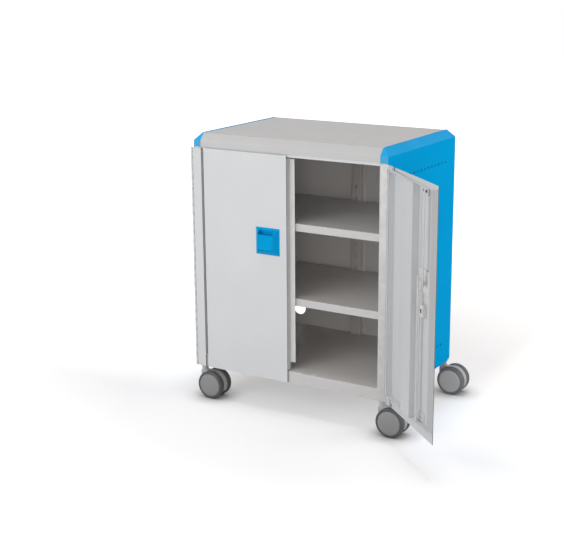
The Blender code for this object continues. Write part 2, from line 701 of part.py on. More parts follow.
def build_rod(name, up, tip, x, door, axis):
    """A flat lock rod with the slot for the cam's pin, and its passage through the door's end wall."""
    joint_z = HANDLE_Z - up * CAM_LIFT
    low, high = sorted((joint_z - up * ROD_TAIL, tip))
    half = ROD_WIDTH / 2
    rod = box(f"lock_rod_{name}", (x - half, ROD_FRONT, low), (x + half, ROD_BACK, high), axis)
    slot_x = CAM_PIN_RADIUS + CAM_RADIUS - CAM_THROW + CLEARANCE
    slot_z = CAM_PIN_RADIUS + CLEARANCE
    cut(rod, box(
        f"pin_slot_{name}", (x - slot_x, ROD_FRONT - SHEET, joint_z - slot_z),
        (x + slot_x, ROD_BACK + SHEET, joint_z + slot_z), axis))
    finish(rod, ZINC)
    half += ROD_PASSAGE
    cut(door, box(
        f"rod_passage_{name}", (x - half, ROD_FRONT - ROD_PASSAGE, tip - 3 * SHEET),
        (x + half, ROD_BACK + ROD_PASSAGE, tip + 3 * SHEET), axis))


def build_doors():
    """Both doors with what they carry; the right one stands open."""
    for name, side, span, angle in (("left", -1, LEFT_SPAN, 0), ("right", 1, RIGHT_SPAN, RIGHT_DOOR_OPEN)):
        inward = -side
        post_axis = pivot(f"hinge_axis_post_{name}", (side * HINGE_X, HINGE_Y, 0))
        axis = pivot(f"hinge_axis_door_{name}", (side * HINGE_X, HINGE_Y, 0))
        axis.rotation_euler = (0, 0, angle)
        build_hinge(name, inward, post_axis, axis)
        door = build_door(name, inward, span, axis)
        build_stiffener(name, inward, span, axis)
        build_handle(name, inward, span, axis, with_stud=name == "right")
        if name == "left":
            build_astragal(axis)
        else:
            build_lock(door, inward, axis)


def wheel_profile():
    """Half of a castor wheel, from the domed hub's centre over the tread to the blind axle bore."""
    rim = WHEEL_RADIUS / cos(pi / WHEEL_FACETS)
    outer = WHEEL_INNER + WHEEL_WIDTH
    shoulder = rim - TREAD_ROUND
    edge = outer - HUB_DOME
    dome = [(HUB_RADIUS * sin(turn), outer - HUB_DOME * (1 - cos(turn))) for turn in (0, pi / 4, pi / 2)]
    lip = HUB_RADIUS + RIM_GROOVE
    tread = [
        (lip, edge), (lip, edge + RIM_GROOVE), (shoulder, edge + RIM_GROOVE),
        (rim, edge - TREAD_ROUND / 2), (rim, WHEEL_INNER + TREAD_ROUND), (shoulder, WHEEL_INNER)]
    end = AXLE_REACH + CLEARANCE
    return dome + tread + [(AXLE_BORE_RADIUS, WHEEL_INNER), (AXLE_BORE_RADIUS, end), (0, end)]


def build_castor(corner, x, y):
    """A twin-wheel castor: the stem in the post's foot, the swivelling housing, the axle and two wheels."""
    collar = -CLEARANCE - COLLAR_HEIGHT
    socket = pivot(f"castor_socket_{corner}", (x, y, BODY_BOTTOM))
    stem = turned(
        f"castor_stem_{corner}",
        ((0, -CLEARANCE), (NECK_RADIUS, -CLEARANCE), (NECK_RADIUS, collar), (STEM_RADIUS, collar),
         (STEM_RADIUS, collar - STEM_LENGTH), (0, collar - STEM_LENGTH)), 16, socket)
    plug_x = (POST_OUTER - POST_INNER) / 2 - SHEET - CLEARANCE
    plug_y = POST_DEPTH / 2 - SHEET - CLEARANCE
    join(stem, box(
        f"castor_plug_{corner}", (-plug_x, -plug_y, collar / 2), (plug_x, plug_y, PLUG_HEIGHT), socket))
    finish(stem, ZINC)
    swivel = pivot(f"castor_swivel_{corner}", (x, y, BODY_BOTTOM))
    hub_z = WHEEL_RADIUS - CASTOR_HEIGHT
    top = collar - CLEARANCE
    hub = Vector((TRAIL, 0, hub_z))
    side = Vector((0, HOUSING_HALF, 0))
    housing = cylinder(
        f"castor_housing_{corner}", HOUSING_RADIUS, hub - side, hub + side, WHEEL_FACETS, swivel)
    join(housing, box(
        f"castor_arm_{corner}", (-NECK_RADIUS, -HOUSING_HALF + SHEET, hub_z),
        (TRAIL, HOUSING_HALF - SHEET, top - NECK_HEIGHT + SHEET), swivel))
    join(housing, cylinder(
        f"castor_neck_{corner}", NECK_RADIUS, (0, 0, top - NECK_HEIGHT), (0, 0, top), 20, swivel))
    cut(housing, cylinder(
        f"stem_bore_{corner}", STEM_BORE_RADIUS, (0, 0, collar - STEM_LENGTH - SHEET), (0, 0, 0), 16,
        swivel))
    cut(housing, cylinder(
        f"axle_bore_{corner}", AXLE_BORE_RADIUS, hub - 2 * side, hub + 2 * side, 16, swivel))
    finish(housing, HOUSING_PLASTIC, smooth=True)
    spin = pivot(f"castor_axis_{corner}", hub, swivel)
    axle = cylinder(f"castor_axle_{corner}", AXLE_RADIUS, (0, -AXLE_REACH, 0), (0, AXLE_REACH, 0), 16, spin)
    finish(axle, ZINC)
    for face, tilt in (("front", pi / 2), ("rear", -pi / 2)):
        wheel = turned(f"castor_wheel_{corner}_{face}", wheel_profile(), WHEEL_FACETS, spin)
        wheel.rotation_mode = "ZYX"
        wheel.rotation_euler = (tilt, 0, pi / WHEEL_FACETS)
        finish(wheel, HUB_PLASTIC, smooth=True)


def build_castors():
    """One castor under each post."""
    ends = {"front": FRONT + POST_DEPTH / 2, "rear": REAR_POST_BACK - POST_DEPTH / 2}
    for end, y in ends.items():
        for side, direction in (("left", -1), ("right", 1)):
            build_castor(f"{end}_{side}", direction * POST_CENTRE, y)


def build_carcass():
    """Worktop, sides, frame, floor, back and shelves."""
    hollow = envelope("carcass_hollow", SHEET, BODY_BOTTOM - SHEET)
    build_worktop(hollow)
    for name, direction in (("left", -1), ("right", 1)):
        build_side(name, direction, hollow)
        build_posts(name, direction)
    build_head_rail()
    build_base_pan()
    build_back()
    for name, slot in SHELF_SLOTS.items():
        build_shelf(name, slot)


def main():
    clear_scene()
    build_carcass()
    build_doors()
    build_castors()
    bpy.context.view_layer.update()


main()
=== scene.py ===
"""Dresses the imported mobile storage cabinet: finishes, softened sheet edges, hinges, handles and castors.

Sizes are in metres, in the frame of the CAD model: the origin is the centre of the worktop,
+Z is up and the doors face -Y.
"""

from __future__ import annotations

import json
import logging
import math
from dataclasses import dataclass
from enum import Enum, IntEnum
from typing import Any, Iterable, Sequence

import bmesh
import bpy
from mathutils import Matrix, Vector

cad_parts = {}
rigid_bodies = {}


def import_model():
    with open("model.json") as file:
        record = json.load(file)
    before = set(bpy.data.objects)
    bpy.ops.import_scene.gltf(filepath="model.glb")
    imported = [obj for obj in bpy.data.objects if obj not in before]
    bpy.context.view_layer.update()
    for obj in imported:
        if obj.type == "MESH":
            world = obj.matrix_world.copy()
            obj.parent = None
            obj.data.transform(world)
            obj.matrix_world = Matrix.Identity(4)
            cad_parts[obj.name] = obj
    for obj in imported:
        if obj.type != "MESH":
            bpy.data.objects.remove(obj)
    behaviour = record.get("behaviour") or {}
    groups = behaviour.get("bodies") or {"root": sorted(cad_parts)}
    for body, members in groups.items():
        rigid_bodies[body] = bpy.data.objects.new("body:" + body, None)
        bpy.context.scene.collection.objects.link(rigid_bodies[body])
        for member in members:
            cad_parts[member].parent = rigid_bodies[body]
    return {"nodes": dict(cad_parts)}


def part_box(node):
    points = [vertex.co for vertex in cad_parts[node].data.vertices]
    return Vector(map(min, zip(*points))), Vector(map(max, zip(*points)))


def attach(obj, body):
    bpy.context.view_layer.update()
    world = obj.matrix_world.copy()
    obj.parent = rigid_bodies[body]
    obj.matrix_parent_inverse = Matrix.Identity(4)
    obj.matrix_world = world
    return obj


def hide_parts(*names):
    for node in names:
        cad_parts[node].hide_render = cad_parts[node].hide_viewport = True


LOG = logging.getLogger("storage_cabinet")
Colour = tuple[float, float, float]
Point = tuple[float, float, float]
Range = tuple[float, float]


class Side(Enum):
    """The two sides of the cabinet, by the way that X points to them."""

    LEFT = -1
    RIGHT = 1

    @property
    def label(self) -> str:
        """The side's name as the CAD nodes spell it."""
        return self.name.lower()


class Corner(Enum):
    """The four castor corners, as the CAD nodes spell them."""

    FRONT_LEFT = "front_left"
    FRONT_RIGHT = "front_right"
    REAR_LEFT = "rear_left"
    REAR_RIGHT = "rear_right"


class Face(Enum):
    """The front and the rear of the cabinet or of a castor, by the way that Y points to them."""

    FRONT = -1
    REAR = 1

    @property
    def label(self) -> str:
        """The face's name as the CAD nodes spell it."""
        return self.name.lower()


class Slot(Enum):
    """The record's material slots."""

    GREY_PAINT = "grey_paint"
    BLUE_PAINT = "blue_paint"
    BLUE_PLASTIC = "blue_plastic"
    ZINC_STEEL = "zinc_steel"
    HOUSING_PLASTIC = "housing_plastic"
    WHEEL_PLASTIC = "wheel_plastic"


class PanelCoat(IntEnum):
    """The order of a side panel's finishes."""

    OUTSIDE = 0
    INSIDE = 1
    VENT = 2
    CAP = 3


class WheelPart(IntEnum):
    """The order of a wheel's finishes."""

    HUB = 0
    TYRE = 1


class HousingPart(IntEnum):
    """The order of a castor housing's finishes."""

    HOOD = 0
    NECK = 1


class Socket(Enum):
    """The kinds of input that the Geometry Nodes trees have."""

    GEOMETRY = "NodeSocketGeometry"
    PLACE = "NodeSocketVector"
    LENGTH = "NodeSocketFloat"
    COUNT = "NodeSocketInt"
    FINISH = "NodeSocketMaterial"


class LampRule(Enum):
    """What a lamp does with the pieces that it is tied to."""

    LEAVES_OUT = "EXCLUDE"
    LIGHTS_ONLY = "INCLUDE"


class NodeBoard:
    """A node tree under construction."""

    # The colour sockets of a Mix node, whose names are shared between its kinds
    MIX_INPUTS = (0, 6, 7)
    MIX_RESULT = 2

    def __init__(self, tree: bpy.types.NodeTree) -> None:
        """Keep the tree that nodes are added to.

        Args:
            tree: The node tree.
        """
        self.tree = tree

    def add(self, kind: str, values: dict[str, Any] | None = None, **settings: Any) -> bpy.types.Node:
        """Add a node.

        Args:
            kind: The node's type name.
            values: Values for its input sockets, by socket name.
            settings: Values for the node's own properties.

        Returns:
            The new node.
        """
        node = self.tree.nodes.new(kind)
        for key, value in settings.items():
            setattr(node, key, value)
        for key, value in (values or {}).items():
            node.inputs[key].default_value = value
        return node

    def link(self, source: bpy.types.NodeSocket, target: bpy.types.NodeSocket) -> None:
        """Join an output to an input."""
        self.tree.links.new(source, target)

    def feed(self, target: bpy.types.NodeSocket, value: Any) -> None:
        """Join an output to an input, or set the input to a constant.

        Args:
            target: The input.
            value: An output, or the constant.
        """
        if isinstance(value, bpy.types.NodeSocket):
            self.link(value, target)
        else:
            target.default_value = value

    def math(self, operation: str, *values: Any, clamp: bool = False) -> bpy.types.NodeSocket:
        """Work on one or two numbers.

        Args:
            operation: What is done with them.
            values: The numbers, as outputs or constants.
            clamp: Whether the result is kept between 0 and 1.

        Returns:
            The result.
        """
        node = self.add("ShaderNodeMath", operation=operation, use_clamp=clamp)
        for socket, value in zip(node.inputs, values):
            self.feed(socket, value)
        return node.outputs["Value"]

    def noise(self, place: bpy.types.NodeSocket, scale: float, detail: float) -> bpy.types.NodeSocket:
        """Add a cloudy pattern.

        Args:
            place: The surface position.
            scale: How many clouds there are to a metre.
            detail: How many finer layers it has.

        Returns:
            The pattern's value.
        """
        node = self.add("ShaderNodeTexNoise", {"Scale": scale, "Detail": detail})
        self.link(place, node.inputs["Vector"])
        return node.outputs["Fac"]

    def spread(self, value: bpy.types.NodeSocket, source: Range, target: Range) -> bpy.types.NodeSocket:
        """Carry a value from one range to another.

        Args:
            value: The value.
            source: The range that it comes from.
            target: The range that it goes to.

        Returns:
            The new value.
        """
        node = self.add("ShaderNodeMapRange", {
            "From Min": source[0], "From Max": source[1], "To Min": target[0], "To Max": target[1]})
        self.link(value, node.inputs["Value"])
        return node.outputs["Result"]

    def blend(self, weight: Any, base: Any, over: Any, mode: str = "MIX") -> bpy.types.NodeSocket:
        """Lay one colour over another.

        Args:
            weight: How much of the upper colour shows, as an output or a number.
            base: The lower colour, as an output or a constant.
            over: The upper colour, likewise.
            mode: How the upper colour is laid on.

        Returns:
            The blended colour.
        """
        node = self.add("ShaderNodeMix", data_type="RGBA", blend_type=mode)
        for index, value in zip(self.MIX_INPUTS, (weight, base, over)):
            self.feed(node.inputs[index], value)
        return node.outputs[self.MIX_RESULT]

    def parts(self, vector: bpy.types.NodeSocket) -> bpy.types.NodeOutputs:
        """Part a vector into X, Y and Z.

        Args:
            vector: The vector.

        Returns:
            Its three numbers.
        """
        node = self.add("ShaderNodeSeparateXYZ")
        self.link(vector, node.inputs["Vector"])
        return node.outputs


@dataclass(frozen=True)
class Finish:
    """A surface finish: its colour with slow variation, fine relief, and paler rubbed edges."""

    name: str
    colour: Colour
    roughness: float
    metallic: float = 0.0
    variation: float = 0.05
    variation_scale: float = 5.0
    relief_scale: float = 700.0
    relief_depth: float = 0.00005
    stretch: Point = (1.0, 1.0, 1.0)
    rub: float = 0.0
    rub_colour: Colour = (0.9, 0.9, 0.9)
    rub_scale: float = 60.0
    rub_patch: Range = (0.4, 0.75)
    rub_share: Range = (0.15, 1.0)
    sheen_scale: float = 28.0
    sheen_spread: float = 0.06
    specular: float = 0.5
    dust: float = 0.0
    dust_colour: Colour = (0.82, 0.86, 0.90)
    dust_scale: float = 9.0
    dust_spread: float = 0.3
    noise_range: Range = (0.3, 0.7)

    def material(self) -> bpy.types.Material:
        """Make the finish, or return it where it is already made.

        Returns:
            The node material.
        """
        found = bpy.data.materials.get(self.name)
        if found is not None:
            return found
        material = bpy.data.materials.new(self.name)
        material.use_nodes = True
        material.diffuse_color = (*self.colour, 1.0)
        board = NodeBoard(material.node_tree)
        shader = material.node_tree.nodes["Principled BSDF"]
        shader.inputs["Metallic"].default_value = self.metallic
        shader.inputs["Specular IOR Level"].default_value = self.specular
        place = board.add("ShaderNodeTexCoord").outputs["Object"]
        self._colour(board, shader, place)
        self._surface(board, shader, place)
        return material

    def _colour(self, board: NodeBoard, shader: bpy.types.Node, place: bpy.types.NodeSocket) -> None:
        """Vary the colour slowly over the surface and pale it where an edge is rubbed.

        Args:
            board: The material's nodes.
            shader: The surface shader.
            place: The surface position.
        """
        cloud = board.noise(place, self.variation_scale, detail=4.0)
        shade = board.spread(cloud, self.noise_range, (1.0 - self.variation, 1.0 + self.variation))
        grey = board.add("ShaderNodeCombineColor")
        for channel in ("Red", "Green", "Blue"):
            board.link(shade, grey.inputs[channel])
        result = board.blend(1.0, (*self.colour, 1.0), grey.outputs["Color"], "MULTIPLY")
        if self.rub > 0.0:
            result = self._rubbed(board, place, result)
        # Pale what faces up: partly dust, partly a painted sheen.
        if self.dust > 0.0:
            result = self._dusted(board, place, result)
        board.link(result, shader.inputs["Base Color"])

    def _rubbed(
            self, board: NodeBoard, place: bpy.types.NodeSocket, base: bpy.types.NodeSocket
    ) -> bpy.types.NodeSocket:
        """Pale the faces that carry the rubbed mark, in patches.

        Args:
            board: The material's nodes.
            place: The surface position.
            base: The colour so far.

        Returns:
            The colour with its rubbed edges.
        """
        mark = board.add("ShaderNodeAttribute", attribute_name="rubbed", attribute_type="GEOMETRY")
        patch = board.spread(board.noise(place, self.rub_scale, detail=5.0), self.rub_patch, self.rub_share)
        share = board.math("MULTIPLY", mark.outputs["Fac"], patch)
        return board.blend(board.math("MULTIPLY", share, self.rub), base, (*self.rub_colour, 1.0))

    def _dusted(
            self, board: NodeBoard, place: bpy.types.NodeSocket, base: bpy.types.NodeSocket
    ) -> bpy.types.NodeSocket:
        """Lay a thin, uneven pale film on what faces up: partly dust, partly a painted sheen that pales the
        up-facing chamfers.

        Args:
            board: The material's nodes.
            place: The surface position.
            base: The colour so far.

        Returns:
            The colour under its film.
        """
        upward = board.parts(board.add("ShaderNodeNewGeometry").outputs["Normal"])["Z"]
        limits = (self.dust * (1.0 - self.dust_spread), self.dust * (1.0 + self.dust_spread))
        film = board.spread(board.noise(place, self.dust_scale, detail=5.0), self.noise_range, limits)
        return board.blend(board.math("MULTIPLY", upward, film, clamp=True), base, (*self.dust_colour, 1.0))

    def _surface(self, board: NodeBoard, shader: bpy.types.Node, place: bpy.types.NodeSocket) -> None:
        """Give the finish its fine relief and its uneven gloss.

        Args:
            board: The material's nodes.
            shader: The surface shader.
            place: The surface position.
        """
        turn = board.add("ShaderNodeMapping", {"Scale": self.stretch})
        board.link(place, turn.inputs["Vector"])
        grain = board.noise(turn.outputs["Vector"], self.relief_scale, detail=2.0)
        bump = board.add("ShaderNodeBump", {"Strength": 1.0, "Distance": self.relief_depth})
        board.link(grain, bump.inputs["Height"])
        board.link(bump.outputs["Normal"], shader.inputs["Normal"])
        gloss = board.noise(place, self.sheen_scale, detail=4.0)
        limits = (self.roughness - self.sheen_spread, self.roughness + self.sheen_spread)
        board.link(board.spread(gloss, self.noise_range, limits), shader.inputs["Roughness"])


LIGHT_GREY_COAT = Finish(
    "light_grey_powder_coat", (0.64, 0.655, 0.672), 0.48, variation=0.02, rub=0.35,
    rub_colour=(0.76, 0.76, 0.765), relief_scale=620.0, relief_depth=0.00006)
# The cabinet's inner grey paint, tinted warm as painted light: the warmth stands in for warm light inside the
# cabinet.
INNER_WARM_LIT_COAT = Finish(
    "warm_grey_powder_coat", (0.678, 0.66, 0.65), 0.5, variation=0.02, rub=0.3,
    rub_colour=(0.76, 0.75, 0.745), relief_scale=600.0, relief_depth=0.00006)
# Painted shade: the same grey paint made darker for the front edges of the shelves and base pan, which sit in
# shade inside the opening.
SHADED_FRONT_EDGE_COAT = Finish(
    "grey_front_edge_coat", (0.60, 0.596, 0.602), 0.45, variation=0.02, rub=0.25,
    rub_colour=(0.68, 0.68, 0.69), relief_scale=600.0, relief_depth=0.00005)
# Painted light: the same grey paint made paler, so the back standard's face reads as lit against the back
# panel.
LIT_STANDARD_COAT = Finish(
    "pale_standard_coat", (0.82, 0.80, 0.785), 0.5, variation=0.02, rub=0.2,
    rub_colour=(0.86, 0.85, 0.84), relief_scale=600.0, relief_depth=0.00005)
# Painted shade: the same grey paint made darker, so the worktop reads as less lit than the front.
WORKTOP_SHADED_COAT = Finish(
    "worktop_powder_coat", (0.543, 0.546, 0.551), 0.55, variation=0.02, rub=0.25,
    rub_colour=(0.72, 0.72, 0.72), relief_scale=540.0, relief_depth=0.00008)
# The blue's pale film on up-facing faces is partly dust, partly a painted sheen on the chamfers.
BLUE_COAT = Finish(
    "blue_powder_coat", (0.0, 0.395, 0.82), 0.46, variation=0.025, rub=0.22,
    rub_colour=(0.16, 0.52, 0.82), relief_scale=620.0, relief_depth=0.00006, specular=0.004, dust=0.05)
# Painted reflection: a paler, greyer blue on the front of the sides' caps, standing in for the front light's
# reflection there.
BLUE_CAP_REFLECTION_COAT = Finish(
    "blue_cap_powder_coat", (0.075, 0.405, 0.69), 0.42, variation=0.025, rub=0.22,
    rub_colour=(0.2, 0.52, 0.8), relief_scale=620.0, relief_depth=0.00006, specular=0.05)
BLUE_MOULDING = Finish(
    "blue_moulded_plastic", (0.0, 0.335, 0.70), 0.42, variation=0.02, rub=0.3,
    rub_colour=(0.06, 0.44, 0.80), relief_scale=1500.0, relief_depth=0.00003, specular=0.03)
LOCK_HOUSING = Finish(
    "grey_lock_moulding", (0.70, 0.70, 0.70), 0.5, variation=0.02, rub=0.2,
    rub_colour=(0.78, 0.78, 0.78), relief_scale=1400.0, relief_depth=0.00003)
# Painted light: a near-white grey for the astragal, standing in for the light on a strip that the door's edge
# shades.
LIT_ASTRAGAL_COAT = Finish(
    "white_seal_strip", (0.86, 0.86, 0.86), 0.5, variation=0.02, rub=0.2,
    rub_colour=(0.9, 0.9, 0.9), relief_scale=900.0, relief_depth=0.00004)
HINGE_PLATE = Finish(
    "hinge_zinc_plate", (0.55, 0.547, 0.543), 0.42, metallic=0.25, variation=0.08, variation_scale=45.0,
    relief_scale=420.0, relief_depth=0.00004, stretch=(3.0, 3.0, 0.25), sheen_spread=0.1)
ZINC_PLATE = Finish(
    "zinc_plate", (0.60, 0.605, 0.61), 0.40, metallic=0.7, variation=0.08, variation_scale=45.0,
    relief_scale=420.0, relief_depth=0.00004, stretch=(3.0, 3.0, 0.25), sheen_spread=0.1)
ROD_PLATE = Finish(
    "bright_rod_plate", (0.63, 0.632, 0.635), 0.44, metallic=0.25, variation=0.05, variation_scale=45.0,
    relief_scale=420.0, relief_depth=0.00004, stretch=(3.0, 3.0, 0.25), sheen_spread=0.08)
# Painted shade: near-black laid on the vent walls, behind the vents and in the lock's and guide's small
# recesses, where shade falls.
RECESS_SHADE_PAINT = Finish(
    "dark_recess", (0.035, 0.035, 0.036), 0.6, variation=0.1, variation_scale=60.0,
    relief_scale=900.0, relief_depth=0.00003, specular=0.2)
TYRE_RUBBER = Finish(
    "grey_tyre_rubber", (0.092, 0.094, 0.096), 0.68, variation=0.12, variation_scale=30.0,
    relief_scale=1100.0, relief_depth=0.00006, specular=0.35)
HUB_MOULDING = Finish(
    "grey_hub_moulding", (0.245, 0.248, 0.25), 0.52, variation=0.04, variation_scale=18.0,
    relief_scale=1300.0, relief_depth=0.00005)
CASTOR_MOULDING = Finish(
    "grey_castor_moulding", (0.42, 0.422, 0.425), 0.5, variation=0.04, variation_scale=18.0,
    relief_scale=1300.0, relief_depth=0.00005)
NECK_MOULDING = Finish(
    "pale_grey_neck_moulding", (0.46, 0.46, 0.465), 0.48, variation=0.03, variation_scale=18.0,
    relief_scale=1300.0, relief_depth=0.00004)


class Workshop:
    """Makes meshes into pieces of the cabinet and reports each one."""

    @staticmethod
    def piece(name: str, bm: bmesh.types.BMesh, finishes: Sequence[Finish]) -> bpy.types.Object:
        """Turn a bmesh into an object at the origin.

        Args:
            name: The piece's name.
            bm: The mesh, which is freed.
            finishes: Its finishes, in the order of its material indices.

        Returns:
            The new object.
        """
        mesh = bpy.data.meshes.new(name)
        bm.to_mesh(mesh)
        bm.free()
        for finish in finishes:
            mesh.materials.append(finish.material())
        item = bpy.data.objects.new(name, mesh)
        bpy.context.scene.collection.objects.link(item)
        return item

    @staticmethod
    def seeds(name: str, points: Sequence[Sequence[float]]) -> bpy.types.Object:
        """Make an object of bare points, which a node tree sets shapes on.

        Args:
            name: The piece's name.
            points: The points.

        Returns:
            The new object.
        """
        mesh = bpy.data.meshes.new(name)
        mesh.from_pydata(points, [], [])
        item = bpy.data.objects.new(name, mesh)
        bpy.context.scene.collection.objects.link(item)
        return item

    @staticmethod
    def settle(item: bpy.types.Object) -> None:
        """Turn a piece's modifiers into plain mesh.

        Args:
            item: The piece.
        """
        depsgraph = bpy.context.evaluated_depsgraph_get()
        mesh = bpy.data.meshes.new_from_object(item.evaluated_get(depsgraph), depsgraph=depsgraph)
        old = item.data
        item.modifiers.clear()
        item.data = mesh
        mesh.name = item.name
        bpy.data.meshes.remove(old)

    @staticmethod
    def smooth(item: bpy.types.Object, angle: float = 40.0) -> None:
        """Shade a piece smoothly, with sharp edges past an angle in degrees."""
        item.data.shade_smooth()
        item.data.set_sharp_from_angle(angle=math.radians(angle))

    @staticmethod
    def repaint(node: bpy.types.Object, finish: Finish) -> None:
        """Give its finish to a CAD node that stays as it is."""
        node.data.materials.clear()
        node.data.materials.append(finish.material())

    @staticmethod
    def circle(steps: int) -> list[tuple[float, float]]:
        """The cosine and sine of each step round a circle."""
        turns = [2 * math.pi * step / steps for step in range(steps)]
        return [(math.cos(turn), math.sin(turn)) for turn in turns]

    @staticmethod
    def quarter(steps: int) -> list[float]:
        """The angles of each step through a quarter turn, with both ends."""
        return [math.pi / 2 * step / steps for step in range(steps + 1)]

    @staticmethod
    def longest(mesh: bpy.types.Mesh, polygon: bpy.types.MeshPolygon) -> float:
        """The length of a face's longest side."""
        corners = [mesh.vertices[index].co for index in polygon.vertices]
        return max((a - b).length for a, b in zip(corners, corners[1:] + corners[:1]))

    @staticmethod
    def loft(
            bm: bmesh.types.BMesh, loops: Sequence[Sequence[bmesh.types.BMVert]], marks: Sequence[int]
    ) -> None:
        """Skin a closed solid over a row of loops, with a face over each end.

        Args:
            bm: The mesh.
            loops: The loops, each with as many points as the others.
            marks: Each loop's material index. A stretch takes that of the loop that it runs to.
        """
        faces = []
        for loop, mark in ((loops[0], marks[0]), (loops[-1], marks[-1])):
            faces.append(bm.faces.new(loop))
            faces[-1].material_index = mark
        for near, far, mark in zip(loops, loops[1:], marks[1:]):
            for index in range(len(near)):
                after = (index + 1) % len(near)
                faces.append(bm.faces.new((near[index], near[after], far[after], far[index])))
                faces[-1].material_index = mark
        bmesh.ops.recalc_face_normals(bm, faces=faces)

    @staticmethod
    def hand_over(item: bpy.types.Object, body: str, slot: Slot, nodes: Iterable[str] = ()) -> None:
        """Let a piece ride on a body, in place of the CAD nodes that it stands for.

        Args:
            item: The piece.
            body: The body that it moves with.
            slot: The record's slot for the piece; not used.
            nodes: The CAD nodes that it replaces.
        """
        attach(item, body)
        names = list(nodes)
        if names:
            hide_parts(*names)
        LOG.info("%s rides on %s, %d faces", item.name, body, len(item.data.polygons))


@dataclass(frozen=True)
class SheetEdges:
    """The radii of a pressed sheet: its folds, the inside of its folds and its sheared rims."""

    fold: float = 0.0016
    inside: float = 0.0005
    rim: float = 0.00035
    narrow: float = 0.003
    hole_facet: float = 0.0035
    segments: int = 3
    flat: float = math.radians(15)

    def weight(self, edge: bmesh.types.BMEdge) -> float:
        """How much of the fold's radius an edge gets.

        Args:
            edge: An edge of the merged sheet.

        Returns:
            The share of the fold's radius, from 0 to 1.
        """
        if len(edge.link_faces) != 2 or edge.calc_face_angle(0.0) < self.flat:
            return 0.0
        longest = [max(side.calc_length() for side in face.edges) for face in edge.link_faces]
        if min(longest) < self.hole_facet:
            return 0.0
        widths = [face.calc_area() / length for face, length in zip(edge.link_faces, longest)]
        if min(widths) < self.narrow:
            return self.rim / self.fold
        return 1.0 if edge.is_convex else self.inside / self.fold


class Pressing:
    """A CAD node's solid with the small radii that folding and shearing leave."""

    MERGE = 0.00001
    COPLANAR = math.radians(1)
    FACE_WEIGHT = 80

    def __init__(self, edges: SheetEdges) -> None:
        """Keep the radii.

        Args:
            edges: The radii of the sheet's edges.
        """
        self.edges = edges

    def copy(self, node: bpy.types.Object, name: str, finishes: Sequence[Finish]) -> bpy.types.Object:
        """Copy a node's solid with softened edges.

        Args:
            node: The CAD node.
            name: The new piece's name.
            finishes: Its finishes.

        Returns:
            The softened piece.
        """
        bm = bmesh.new()
        bm.from_mesh(node.data)
        bmesh.ops.remove_doubles(bm, verts=bm.verts, dist=self.MERGE)
        bmesh.ops.dissolve_limit(
            bm, angle_limit=self.COPLANAR, verts=bm.verts, edges=bm.edges, delimit=set())
        for face in bm.faces:
            face.material_index = 0
        layer = bm.edges.layers.float.new("bevel_weight_edge")
        for edge in bm.edges:
            edge[layer] = self.edges.weight(edge)
        item = Workshop.piece(name, bm, finishes)
        bevel = item.modifiers.new("radii", "BEVEL")
        bevel.limit_method = "WEIGHT"
        bevel.width = self.edges.fold
        bevel.segments = self.edges.segments
        bevel.use_clamp_overlap = False
        bevel.miter_outer = "MITER_ARC"
        item.data.shade_smooth()
        even = item.modifiers.new("even", "WEIGHTED_NORMAL")
        even.weight = self.FACE_WEIGHT
        Workshop.settle(item)
        self._mark_rubbed(item)
        return item

    def _mark_rubbed(self, item: bpy.types.Object) -> None:
        """Mark the narrow faces along folds and rims, where paint is rubbed.

        Args:
            item: The piece.
        """
        mesh = item.data
        mark = mesh.attributes.new("rubbed", "FLOAT", "FACE")
        values = []
        for polygon in mesh.polygons:
            longest = Workshop.longest(mesh, polygon)
            is_edge = longest > self.edges.hole_facet and polygon.area / longest < self.edges.fold
            values.append(1.0 if is_edge else 0.0)
        mark.data.foreach_set("value", values)


